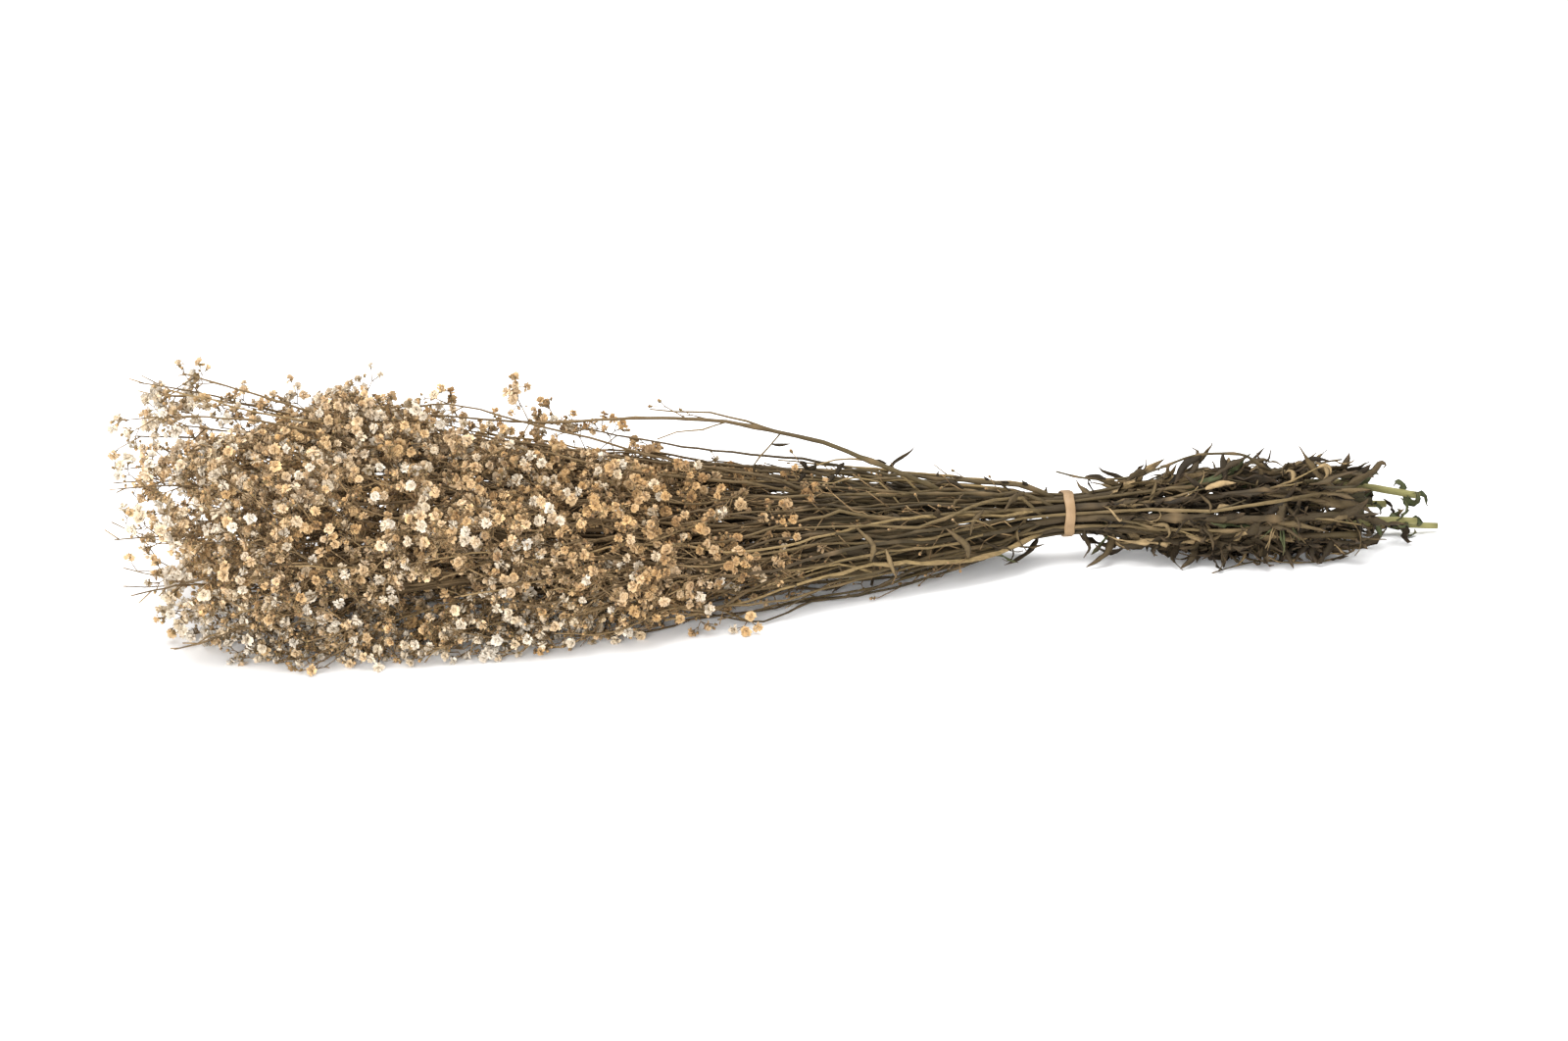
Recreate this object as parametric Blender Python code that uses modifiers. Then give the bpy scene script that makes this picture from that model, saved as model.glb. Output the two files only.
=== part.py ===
"""A bunch of dried gypsophila lying on its side: branching stems with curled leaves and small star-shaped
flowers, tied by one rubber band. The flowers lie towards -X, the cut ends towards +X, and the surface is at
z = 0."""

import math
import random

import bmesh
import bpy
import numpy as np
from mathutils import Matrix, Vector

# What drives the bunch, in metres
SEED = 26
OUTER_STEMS = 9
INNER_STEMS = 3
BAND_X = 0.142
BAND_WIDTH = 0.005
BAND_THICKNESS = 0.0011
BAND_CENTRE_Z = 0.0228
BAND_HALF = 0.0113  # half of the tied stems' height and width, in the band
STEM_RADIUS = 0.00245  # where it is tied
CUT_RADIUS_SHARE = 1.1
TIP_RADIUS_SHARE = 0.28
TIP_X = -0.285  # where the longest stem's own axis ends, short of its last flowers
CORNERS = 1.0  # how square the pressed underside is, from 0 to 1
TWIST = 1.3  # radians that the stems turn round each other in a metre
LEFT_END = -0.322  # no flower's middle lies beyond it
OUTER_PLACE = 0.686  # how far out the outer stems stand, as a share of the half width
INNER_PLACE = 0.264
FLOWER_RADIUS = 0.0072  # larger than life, because each one stands for a tuft of small florets
BUD_RADIUS = 0.0030
BUD_SHARE = 0.15
PETALS = 5
TWIG_RADIUS = 0.0006
TWIG_FOOT_RADIUS = 0.0004
BRANCH_RADIUS = 0.0012
BRANCH_TIP_RADIUS = 0.0009
BRANCH_FOOT_SHARE = 0.6  # of the stem's own radius, where a branch leaves it
BRANCHES = 7
INNER_BRANCHES = 4
FRONT_STEMS = (4, 5)  # the stems that face the front have more branches
FRONT_BRANCHES = 8
BRANCH_WEDGE = 0.42  # radians that a branch may end to each side of its stem
BRANCH_ENDS_X = (-0.030, -0.305)  # the first and the last branches' ends
FLOWERS_ON_BRANCH = 3
STEM_BEND = 0.07  # how far a stem strays at a joint, as a share of the half width
LEAVES = 4
LEAF_LENGTHS = (0.020, 0.034)
LEAF_HALF_WIDTHS = (0.0022, 0.0036)
LEAF_CLEARANCE = 0.0025  # from a leaf's midrib to the surface
CLEAR = 0.0005  # kept between two stems' growth
GAP = 0.0003  # between the band and the stems it holds
BALL_STEP = 0.0015
NODE_STEP = 0.050  # between the joints of a stem
SMOOTH_BELOW = math.radians(65)
STRAIGHT = 0.004  # the stems run straight this far to each side of the band's middle

# The bunch's outline: x, top, underside, and how far it spreads to the front (-Y) and to the back (+Y)
OUTLINE = (
    (-0.340, 0.080, 0.024, 0.044, 0.042),
    (-0.300, 0.092, 0.006, 0.076, 0.064),
    (-0.250, 0.096, 0.000, 0.104, 0.080),
    (-0.200, 0.093, 0.000, 0.108, 0.080),
    (-0.130, 0.075, 0.000, 0.100, 0.072),
    (-0.050, 0.060, 0.000, 0.081, 0.057),
    (0.020, 0.051, 0.000, 0.056, 0.040),
    (0.085, 0.0425, 0.002, 0.031, 0.023),
    (BAND_X, BAND_CENTRE_Z + BAND_HALF, BAND_CENTRE_Z - BAND_HALF, BAND_HALF, BAND_HALF),
    (0.185, 0.039, 0.006, 0.021, 0.019),
    (0.240, 0.044, 0.000, 0.035, 0.030),
    (0.285, 0.042, 0.000, 0.035, 0.032),
    (0.318, 0.030, 0.000, 0.033, 0.030),
    (0.345, 0.020, 0.000, 0.030, 0.028),
)

# Where each stem is cut: the outer ones from the back round over the top, then the inner ones
CUT_X = (0.328, 0.283, 0.292, 0.284, 0.286, 0.283, 0.281, 0.334, 0.312, 0.300, 0.292, 0.318)
STEM_GIRTH = (1.0, 0.96, 0.97, 1.04, 0.97, 0.98, 1.0, 0.98, 0.96, 1.0, 0.98, 1.0)
RESTING_STEM = 6  # the one whose cut end lies on the surface
RESTS_FROM_X = 0.235

# A side branch that arches clear over the bunch, as (x, z), and the stem that carries it
ARCH_STEM = 2
ARCH_Y = -0.012
ARCH_ROOT_X = 0.088
ARCH = ((0.054, 0.054), (0.019, 0.070), (-0.028, 0.083), (-0.065, 0.087), (-0.115, 0.087), (-0.170, 0.094))
# Sprays with a place of their own, as (stem, x of the root, then x, y, z): two that stand up out of the
# flowers' far end, and two that leave the bunch low down in front and lie along the surface
SPRAYS = (
    (1, -0.165, ((-0.235, -0.004, 0.100), (-0.262, 0.000, 0.109), (-0.282, 0.002, 0.1155))),
    (0, -0.180, ((-0.250, 0.026, 0.090), (-0.278, 0.032, 0.094), (-0.298, 0.036, 0.095))),
    (
        5,
        0.112,
        ((0.080, -0.011, 0.0085), (0.030, -0.023, 0.007), (-0.027, -0.044, 0.006), (-0.080, -0.068, 0.008)),
    ),
    (
        6,
        0.118,
        ((0.088, -0.007, 0.005), (0.045, -0.031, 0.002), (0.005, -0.042, 0.002), (-0.040, -0.067, 0.004)),
    ),
)


def outline_at(x):
    """Top, underside, front and back spread of the bunch at x, on a smooth curve through the stations."""
    stations = np.array(OUTLINE)
    x = BAND_X if abs(x - BAND_X) <= STRAIGHT else min(max(x, stations[0, 0]), stations[-1, 0])
    last = len(stations) - 1
    i = min(int(np.searchsorted(stations[:, 0], x, side="right")) - 1, last - 1)
    i = max(i, 0)
    slopes = np.gradient(stations[:, 1:], stations[:, 0], axis=0)
    span = stations[i + 1, 0] - stations[i, 0]
    t = (x - stations[i, 0]) / span
    return (
        (2 * t**3 - 3 * t**2 + 1) * stations[i, 1:]
        + (t**3 - 2 * t**2 + t) * span * slopes[i]
        + (3 * t**2 - 2 * t**3) * stations[i + 1, 1:]
        + (t**3 - t**2) * span * slopes[i + 1]
    )


def place(x, u, v):
    """The point at x that stands at (u, v) in the round of the bunch, from -1 to 1. The stems turn round
    each other a little along the bunch, and its underside is pressed flatter than its top."""
    top, underside, front, back = outline_at(x)
    turn = TWIST * (BAND_X - x)
    across = u * math.cos(turn) - v * math.sin(turn)
    up = u * math.sin(turn) + v * math.cos(turn)
    out = math.hypot(across, up)
    if up < 0:
        square = (max(abs(across), -up) / out) ** (-CORNERS * pressed(x))
        across *= square
        up *= square
    spread = front if across < 0 else back
    return Vector((x, across * spread, (top + underside + up * (top - underside)) / 2))


def pressed(x):
    """How flat the underside lies, from 0 in the band to 1 where the flowers rest."""
    return min(1.0, abs(x - BAND_X) / 0.1)


def stem_place(index):
    """A stem's own place in the round of the bunch."""
    if index < OUTER_STEMS:
        angle = 2 * math.pi * (index + 0.5) / OUTER_STEMS
        return OUTER_PLACE * math.cos(angle), OUTER_PLACE * math.sin(angle)
    angle = 2 * math.pi * (index - OUTER_STEMS) / INNER_STEMS
    return INNER_PLACE * math.cos(angle), INNER_PLACE * math.sin(angle)


def stem_radius(index, x):
    """A stem is thickest at its cut end, and slender among the flowers."""
    base = STEM_RADIUS * STEM_GIRTH[index]
    if x > BAND_X:
        share = 1 + (CUT_RADIUS_SHARE - 1) * (x - BAND_X) / (CUT_X[index] - BAND_X)
    else:
        share = 1 + (TIP_RADIUS_SHARE - 1) * (BAND_X - x) / (BAND_X - TIP_X)
    return base * share


class Room:
    """The balls that fill each stem and its growth, so that new growth is kept clear of other stems."""

    def __init__(self):
        self.balls = np.empty((0, 4))
        self.owners = np.empty(0, int)

    def take(self, balls, owner):
        self.balls = np.vstack([self.balls, balls])
        self.owners = np.append(self.owners, np.full(len(balls), owner))

    def free(self, balls, owner):
        others = self.balls[self.owners != owner]
        apart = np.linalg.norm(balls[:, None, :3] - others[None, :, :3], axis=2)
        return bool((apart - balls[:, None, 3] - others[None, :, 3]).min() > CLEAR)

    def crowded(self, ball, owner):
        """Whether a flower would sink into its own stem, a branch or another flower of it."""
        own = self.balls[self.owners == owner]
        apart = np.linalg.norm(own[:, :3] - ball[:, :3], axis=1)
        return bool((apart - own[:, 3] - 0.9 * ball[:, 3]).min() < 0)


def balls_along(points, radii):
    """Balls a short step apart along a line of points, each as x, y, z and radius."""
    found = []
    for a, b, first, second in zip(points, points[1:], radii, radii[1:]):
        steps = max(1, math.ceil((b - a).length / BALL_STEP))
        for k in range(steps + 1):
            t = k / steps
            found.append((*a.lerp(b, t), first + (second - first) * t))
    return np.array(found)


def evenly(start, end):
    """Places from start to end, about one internode apart."""
    count = max(1, round(abs(end - start) / NODE_STEP))
    return [start + (end - start) * k / count for k in range(count + 1)]


def main_stem(index):
    """A stem's own axis, from its cut end to its tip, with a slight bend at each joint."""
    dice = random.Random(SEED * 100 + index)
    u, v = stem_place(index)
    tip = TIP_X + dice.uniform(0.0, 0.03)
    points, radii = [], []
    for x in evenly(CUT_X[index], BAND_X + STRAIGHT) + evenly(BAND_X - STRAIGHT, tip):
        away = min(1.0, abs(x - BAND_X) / 0.12)
        inward = 1 - 0.05 * away if x < BAND_X else 1
        point = place(
            x,
            u * inward + dice.uniform(-STEM_BEND, STEM_BEND) * away,
            v * inward + dice.uniform(-STEM_BEND, STEM_BEND) * away,
        )
        radius = stem_radius(index, x)
        if index == RESTING_STEM:
            down = min(1.0, max(0.0, (x - 0.17) / (RESTS_FROM_X - 0.17)))
            point.z += (0.8 * radius - point.z) * down * down * (3 - 2 * down)
        points.append(point)
        radii.append(radius)
    return {"index": index, "points": points, "radii": radii, "branches": [], "flowers": [], "leaves": []}


def point_on(stem, x):
    """The stem's point at x."""
    for a, b in zip(stem["points"], stem["points"][1:]):
        if b.x <= x <= a.x:
            return a.lerp(b, (a.x - x) / (a.x - b.x))
    return stem["points"][-1 if x < stem["points"][-1].x else 0].copy()


def branch_to(stem, start_x, end, joints=3):
    """A side branch that leaves its stem at a small angle and curves away to its end."""
    start = point_on(stem, start_x)
    ahead = point_on(stem, start_x - 0.6 * (start_x - end.x))
    points = []
    for k in range(joints):
        t = k / (joints - 1)
        points.append(start.lerp(ahead, t).lerp(ahead.lerp(end, t), t))
    return points


def add_branch(room, stem, points, thickness=BRANCH_RADIUS):
    """Grows the branch if it stays clear of the other stems."""
    radii = [thickness + (BRANCH_TIP_RADIUS - thickness) * k / (len(points) - 1) for k in range(len(points))]
    radii[0] = min(thickness, BRANCH_FOOT_SHARE * stem_radius(stem["index"], points[0].x))
    balls = balls_along(points, radii)
    if not room.free(balls, stem["index"]):
        return False
    room.take(balls, stem["index"])
    stem["branches"].append({"points": points, "radii": radii})
    return True


def branch_count(index):
    if index in FRONT_STEMS:
        return FRONT_BRANCHES
    return BRANCHES if index < OUTER_STEMS else INNER_BRANCHES


def grow_branch(room, stem, order):
    """One side branch of a stem, to a free place in its own part of the flower head."""
    index = stem["index"]
    dice = random.Random(SEED * 1000 + index * 40 + order)
    u, v = stem_place(index)
    outer = index < OUTER_STEMS
    first, last = BRANCH_ENDS_X
    along = (order + dice.random()) / branch_count(index)
    for _ in range(25):
        end_x = first + (last - first) * along**0.75 + dice.uniform(-0.012, 0.012)
        angle = math.atan2(v, u) + dice.uniform(-BRANCH_WEDGE, BRANCH_WEDGE) * (1 if outer else 2)
        reach = dice.uniform(0.6, 0.92) if outer else dice.uniform(0.1, 0.55)
        end = place(end_x, reach * math.cos(angle), reach * math.sin(angle))
        start_x = min(0.09, end_x + dice.uniform(0.08, 0.13))
        if add_branch(room, stem, branch_to(stem, start_x, end)):
            return


def grow_flowers(room, stem, branch, order, count):
    """Short stalks near a branch's end, each with a flower, and one flower on the end itself."""
    dice = random.Random(SEED * 7000 + stem["index"] * 400 + order)
    points = branch["points"]
    ahead = (points[-1] - points[-2]).normalized()
    for k in range(count):
        size = FLOWER_RADIUS * dice.uniform(0.75, 1.1)
        if dice.random() < BUD_SHARE:
            size = BUD_RADIUS
        for _ in range(30):
            root = points[-1] - 0.002 * ahead
            if k > 0:
                root = points[-2].lerp(points[-1], dice.uniform(0.1, 0.9))
            side = Vector([dice.gauss(0, 1) for _ in range(3)]).normalized()
            side -= side.dot(ahead) * ahead
            along = ahead * dice.uniform(0.2, 0.8) + side.normalized() * (0.15 if k == 0 else 1.0)
            length = size + dice.uniform(0.003, 0.005) if k == 0 else size + dice.uniform(0.003, 0.012)
            end = root + along.normalized() * length
            end.z = max(end.z, 0.7 * size)
            ball = np.array([(*end, size)])
            stalk = balls_along([root, end], [TWIG_RADIUS] * 2)
            if end.x < LEFT_END or room.crowded(ball, stem["index"]):
                continue
            if room.free(np.vstack([stalk, ball]), stem["index"]):
                room.take(np.vstack([stalk, ball]), stem["index"])
                bloom = {"root": root, "centre": end, "size": size, "spin": dice.uniform(0, 6.28)}
                stem["flowers"].append(bloom)
                break


def leaf_line(root, away, droop, length, steps):
    """A leaf's midrib: it leaves its joint along away and bends over towards droop."""
    shares = [k / steps for k in range(steps + 1)]
    return [root + away * (length * t) + droop * (length * t * t) for t in shares]


def grow_leaves(room, stem):
    """Dry leaves at the joints of the lower stem, turned out of the bunch."""
    index = stem["index"]
    dice = random.Random(SEED * 300 + index)
    for _ in range(90):
        if len(stem["leaves"]) == LEAVES:
            return
        x = dice.uniform(0.0, CUT_X[index] - 0.012)
        if abs(x - BAND_X) < 0.012:
            continue
        joint = min(stem["points"], key=lambda p: abs(p.x - x))
        root = joint.lerp(point_on(stem, x), 0.3)
        out = Vector((0, root.y, root.z - BAND_CENTRE_Z))
        out = out.normalized() + Vector([dice.gauss(0, 0.4) for _ in range(3)])
        along = Vector((dice.choice((-1, -1, 1)) * dice.uniform(1.0, 2.2), 0, 0))
        away = (out + along).normalized()
        droop = Vector([dice.gauss(0, 0.35) for _ in range(3)]) - 0.35 * out
        length = dice.uniform(*LEAF_LENGTHS)
        width = dice.uniform(*LEAF_HALF_WIDTHS)
        line = leaf_line(root, away, droop, length, 4)
        balls = balls_along(line, [0.5 * width, width, width, 0.8 * width, 0.0006])
        if min(p.z for p in line[1:]) < LEAF_CLEARANCE or not room.free(balls, index):
            continue
        room.take(balls, index)
        stem["leaves"].append({"line": line, "width": width, "side": away.cross(out).normalized()})


def grow_bunch():
    """Every stem with its branches, flowers and leaves, as points and sizes."""
    stems = [main_stem(index) for index in range(OUTER_STEMS + INNER_STEMS)]
    room = Room()
    for stem in stems:
        room.take(balls_along(stem["points"], stem["radii"]), stem["index"])
    for k in range(36):
        angle = 2 * math.pi * k / 36
        reach = BAND_HALF + GAP + BAND_THICKNESS
        ring = (BAND_X, reach * math.cos(angle), BAND_CENTRE_Z + reach * math.sin(angle), BAND_WIDTH / 2)
        room.take(np.array([ring]), -1)
    grow_set_branches(room, stems)
    for order in range(FRONT_BRANCHES):
        for stem in stems:
            if order < branch_count(stem["index"]):
                grow_branch(room, stem, order)
    for stem in stems:
        leader = {"points": stem["points"][-3:]}
        grow_flowers(room, stem, leader, 99, FLOWERS_ON_BRANCH + 1)
    for order in range(max(len(stem["branches"]) for stem in stems)):
        for stem in stems:
            if order < len(stem["branches"]):
                grow_flowers(room, stem, stem["branches"][order], order, FLOWERS_ON_BRANCH)
    for stem in stems:
        grow_leaves(room, stem)
    return stems


def grow_set_branches(room, stems):
    """The branches that have their own places: the arch over the bunch, and the sprays."""
    carrier = stems[ARCH_STEM]
    root = point_on(carrier, ARCH_ROOT_X)
    arch = [root] + [Vector((x, ARCH_Y, z)) for x, z in ARCH]
    add_branch(room, carrier, arch, 1.35 * BRANCH_RADIUS)
    for index, root_x, line in SPRAYS:
        root = point_on(stems[index], root_x)
        add_branch(room, stems[index], [root] + [Vector(p) for p in line])


# From points and sizes to solids


def mesh_object(name, mesh, collection):
    made = bpy.data.objects.new(name, mesh)
    collection.objects.link(made)
    return made


def tube(name, points, radii, sides, collection):
    """A tapering tube along the points, from a bevelled curve, as a mesh with its caps joined on."""
    curve = bpy.data.curves.new(name, "CURVE")
    curve.dimensions = "3D"
    curve.bevel_depth = 1.0
    curve.bevel_resolution = (sides - 4) // 2
    curve.use_fill_caps = True
    spline = curve.splines.new("POLY")
    spline.points.add(len(points) - 1)
    for slot, point, radius in zip(spline.points, points, radii):
        slot.co = (*point, 1.0)
        slot.radius = radius
    guide = bpy.data.objects.new(name, curve)
    collection.objects.link(guide)
    bpy.context.view_layer.update()
    evaluated = guide.evaluated_get(bpy.context.evaluated_depsgraph_get())
    mesh = bpy.data.meshes.new_from_object(evaluated)
    bm = bmesh.new()
    bm.from_mesh(mesh)
    bmesh.ops.remove_doubles(bm, verts=bm.verts, dist=1e-6)
    bm.to_mesh(mesh)
    bm.free()
    bpy.data.objects.remove(guide)
    return mesh_object(name, mesh, collection)


def flower(name, root, centre, size, spin, collection):
    """A star of pointed petals, or a plain bud where small, lofted out of its own three-sided stalk."""
    bm = bmesh.new()
    neck = -0.3 * size
    length = (centre - root).length + neck
    bmesh.ops.create_cone(
        bm, cap_ends=False, segments=3, radius1=TWIG_FOOT_RADIUS, radius2=TWIG_RADIUS, depth=length
    )
    stalk = sorted((v for v in bm.verts if v.co.z > 0), key=lambda v: math.atan2(v.co.y, v.co.x))
    foot = sorted((v for v in bm.verts if v.co.z < 0), key=lambda v: math.atan2(v.co.y, v.co.x))
    bmesh.ops.translate(bm, verts=bm.verts, vec=(0, 0, neck - length / 2))
    bm.faces.new(foot)
    opened = size > 1.5 * BUD_RADIUS
    around = 2 * PETALS if opened else 4
    start = math.atan2(stalk[0].co.y, stalk[0].co.x)
    rim = []
    for k in range(around):
        angle = start + 2 * math.pi * k / around
        petal = opened and k % 2 == 0
        reach = size * (1.0 if petal or not opened else 0.62)
        lift = 0.3 * size if petal else 0.0
        rim.append(bm.verts.new((reach * math.cos(angle), reach * math.sin(angle), lift)))
    top = bm.verts.new((0, 0, size * (0.45 if opened else 1.2)))
    for k in range(around):
        after = (k + 1) % around
        near = stalk[round(3 * k / around) % 3]
        far = stalk[round(3 * (k + 1) / around) % 3]
        bm.faces.new((rim[k], rim[after], top))
        bm.faces.new((rim[k], rim[after], far))
        if near is not far:
            bm.faces.new((rim[k], far, near))
    bmesh.ops.recalc_face_normals(bm, faces=bm.faces)
    turn = (centre - root).to_track_quat("Z", "Y").to_matrix().to_4x4()
    bm.transform(Matrix.Translation(centre) @ turn @ Matrix.Rotation(spin, 4, "Z"))
    return finished(name, bm, collection)


def leaf(name, line, width, side, collection):
    """A narrow dry leaf: a blade folded along its midrib, widest near its foot, lofted to a point."""
    shares = (0.45, 1.0, 0.85, 0.5)
    bm = bmesh.new()
    rings = []
    for k, share in enumerate(shares):
        ahead = (line[k + 1] - line[max(k - 1, 0)]).normalized()
        across = (side - side.dot(ahead) * ahead).normalized()
        keel = across.cross(ahead).normalized()
        half = across * (width * share)
        fold = keel * (0.35 * width * share + 0.0006)
        rings.append([bm.verts.new(p) for p in (line[k] - half, line[k] + half, line[k] + fold)])
    tip = bm.verts.new(line[4])
    bm.faces.new(rings[0])
    for a, b in zip(rings, rings[1:]):
        for j in range(3):
            bm.faces.new((a[j], b[j], b[(j + 1) % 3], a[(j + 1) % 3]))
    for j in range(3):
        bm.faces.new((rings[-1][j], tip, rings[-1][(j + 1) % 3]))
    bmesh.ops.recalc_face_normals(bm, faces=bm.faces)
    return finished(name, bm, collection)


def finished(name, bm, collection):
    mesh = bpy.data.meshes.new(name)
    bm.to_mesh(mesh)
    bm.free()
    return mesh_object(name, mesh, collection)


def fused(base, repeats):
    """The base with everything in the repeats collection joined to it, as one closed body, flat at z = 0."""
    union = base.modifiers.new("joined", "BOOLEAN")
    union.operation = "UNION"
    union.operand_type = "COLLECTION"
    union.collection = repeats
    for solver in ("EXACT", "MANIFOLD"):
        union.solver = solver
        bpy.context.view_layer.update()
        evaluated = base.evaluated_get(bpy.context.evaluated_depsgraph_get())
        bm = bmesh.new()
        bm.from_mesh(evaluated.data)
        bmesh.ops.triangulate(bm, faces=bm.faces)
        drop_scraps(bm)
        cut_flat(bm)
        if all(part.is_manifold for part in list(bm.edges) + list(bm.verts)):
            break
    base.modifiers.remove(union)
    bm.to_mesh(base.data)
    bm.free()
    for piece in list(repeats.objects):
        bpy.data.objects.remove(piece)
    bpy.data.collections.remove(repeats)


def drop_scraps(bm):
    """Drops the loose scraps that joining can leave, also those that hang on by one edge: one body stays."""
    left = set(bm.faces)
    bodies = []
    while left:
        body = set()
        reached = [left.pop()]
        while reached:
            face = reached.pop()
            body.add(face)
            for edge in face.edges:
                across = [other for other in edge.link_faces if other in left]
                if len(edge.link_faces) == 2 and across:
                    left.remove(across[0])
                    reached.append(across[0])
        bodies.append(body)
    largest = max(bodies, key=len)
    scraps = [face for body in bodies if body is not largest for face in body]
    bmesh.ops.delete(bm, geom=scraps, context="FACES")


def cut_flat(bm):
    """Presses what reaches below the surface flat against it."""
    if min(vert.co.z for vert in bm.verts) >= 0:
        return
    everything = list(bm.verts) + list(bm.edges) + list(bm.faces)
    bmesh.ops.bisect_plane(bm, geom=everything, plane_co=(0, 0, 0), plane_no=(0, 0, -1), clear_outer=True)
    bmesh.ops.holes_fill(bm, edges=[edge for edge in bm.edges if edge.is_boundary])
    bmesh.ops.triangulate(bm, faces=bm.faces)


def build_stem(stem, bunch, material):
    """One flowering stem, with all that grows on it, as a single solid."""
    name = f"stem_{stem['index'] + 1:02d}"
    repeats = bpy.data.collections.new(f"{name}_growth")
    bpy.context.scene.collection.children.link(repeats)
    base = tube(name, stem["points"], stem["radii"], 6, bunch)
    for k, branch in enumerate(stem["branches"]):
        tube(f"{name}_branch_{k}", branch["points"], branch["radii"], 4, repeats)
    for k, bloom in enumerate(stem["flowers"]):
        flower(f"{name}_flower_{k}", bloom["root"], bloom["centre"], bloom["size"], bloom["spin"], repeats)
    for k, blade in enumerate(stem["leaves"]):
        leaf(f"{name}_leaf_{k}", blade["line"], blade["width"], blade["side"], repeats)
    fused(base, repeats)
    base.data.materials.clear()
    base.data.materials.append(material)
    round_off(base.data)
    return base


def round_off(mesh):
    """Shades the round stems smooth and keeps the petals' and the band's edges sharp."""
    mesh.shade_smooth()
    mesh.set_sharp_from_angle(angle=SMOOTH_BELOW)


def band_reach(stems, angle):
    """How far from its middle the band lies in this direction, drawn tight round the outer stems."""
    reach = 0.0
    for stem in stems[:OUTER_STEMS]:
        at = point_on(stem, BAND_X)
        reach = max(
            reach,
            at.y * math.cos(angle)
            + (at.z - BAND_CENTRE_Z) * math.sin(angle)
            + stem_radius(stem["index"], BAND_X),
        )
    return reach + GAP


def rubber_band(stems, bunch, material):
    """A flat rubber band stretched round the stems."""
    bm = bmesh.new()
    bmesh.ops.create_cone(bm, cap_ends=False, segments=36, radius1=1, radius2=1, depth=BAND_WIDTH)
    for vert in bm.verts:
        angle = math.atan2(vert.co.y, vert.co.x)
        reach = band_reach(stems, angle)
        x = BAND_X + vert.co.z
        vert.co = Vector((x, reach * math.cos(angle), BAND_CENTRE_Z + reach * math.sin(angle)))
    bm.normal_update()
    for face in bm.faces:
        middle = face.calc_center_median()
        if face.normal.dot(Vector((0, middle.y, middle.z - BAND_CENTRE_Z))) < 0:
            face.normal_flip()
    band = finished("rubber_band", bm, bunch)
    wall = band.modifiers.new("thickness", "SOLIDIFY")
    wall.thickness = BAND_THICKNESS
    wall.offset = 1.0
    band.data.materials.append(material)
    round_off(band.data)
    return band


def principled(name, colour, roughness):
    material = bpy.data.materials.new(name)
    material.use_nodes = True
    shader = material.node_tree.nodes["Principled BSDF"]
    shader.inputs["Base Color"].default_value = (*colour, 1.0)
    shader.inputs["Roughness"].default_value = roughness
    shader.inputs["Metallic"].default_value = 0.0
    return material


def centre_over_origin(objects):
    """Moves the bunch so that the middle of its footprint is at the origin. Its height stays."""
    bpy.context.view_layer.update()
    graph = bpy.context.evaluated_depsgraph_get()
    corners = []
    for made in objects:
        evaluated = made.evaluated_get(graph)
        corners += [evaluated.matrix_world @ Vector(c) for c in evaluated.bound_box]
    middle = [(min(c[k] for c in corners) + max(c[k] for c in corners)) / 2 for k in range(2)]
    for made in objects:
        made.location -= Vector((*middle, 0))


def main():
    for made in list(bpy.data.objects):
        bpy.data.objects.remove(made)
    bunch = bpy.data.collections.new("gypsophila_bunch")
    bpy.context.scene.collection.children.link(bunch)
    straw = principled("dried_gypsophila", (0.42, 0.31, 0.18), 0.85)
    rubber = principled("tan_rubber", (0.55, 0.38, 0.21), 0.55)
    stems = grow_bunch()
    made = [build_stem(stem, bunch, straw) for stem in stems]
    made.append(rubber_band(stems, bunch, rubber))
    centre_over_origin(made)


main()
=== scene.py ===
"""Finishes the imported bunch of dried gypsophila. The stems, branches and leaves are grown again by the part's
own rule, then drawn finely, with the twigs, double florets, curled leaves and rubber band that the photograph
shows."""

import itertools
import math
import random

import bpy
import numpy as np
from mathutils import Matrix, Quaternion, Vector


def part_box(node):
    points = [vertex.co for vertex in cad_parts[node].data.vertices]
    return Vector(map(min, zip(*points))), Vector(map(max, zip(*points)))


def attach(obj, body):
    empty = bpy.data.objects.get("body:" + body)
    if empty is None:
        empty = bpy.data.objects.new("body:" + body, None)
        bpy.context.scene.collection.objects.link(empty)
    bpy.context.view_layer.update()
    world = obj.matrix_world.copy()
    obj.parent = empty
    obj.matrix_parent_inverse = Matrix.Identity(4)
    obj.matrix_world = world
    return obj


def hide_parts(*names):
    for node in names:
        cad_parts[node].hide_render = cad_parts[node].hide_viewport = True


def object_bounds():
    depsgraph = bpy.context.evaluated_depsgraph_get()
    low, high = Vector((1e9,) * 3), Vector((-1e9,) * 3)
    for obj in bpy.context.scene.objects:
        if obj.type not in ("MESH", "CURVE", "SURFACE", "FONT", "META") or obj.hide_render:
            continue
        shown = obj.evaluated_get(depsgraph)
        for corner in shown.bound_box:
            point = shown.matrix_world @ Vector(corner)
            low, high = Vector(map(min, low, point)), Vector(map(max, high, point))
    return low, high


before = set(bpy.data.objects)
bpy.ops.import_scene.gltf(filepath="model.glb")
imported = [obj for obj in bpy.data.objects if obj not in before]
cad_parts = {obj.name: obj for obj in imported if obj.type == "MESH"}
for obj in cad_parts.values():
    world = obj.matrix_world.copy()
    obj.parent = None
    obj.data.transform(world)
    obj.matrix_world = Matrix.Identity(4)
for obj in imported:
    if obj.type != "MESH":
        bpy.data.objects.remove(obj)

CAD_LOW, CAD_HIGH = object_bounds()

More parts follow.
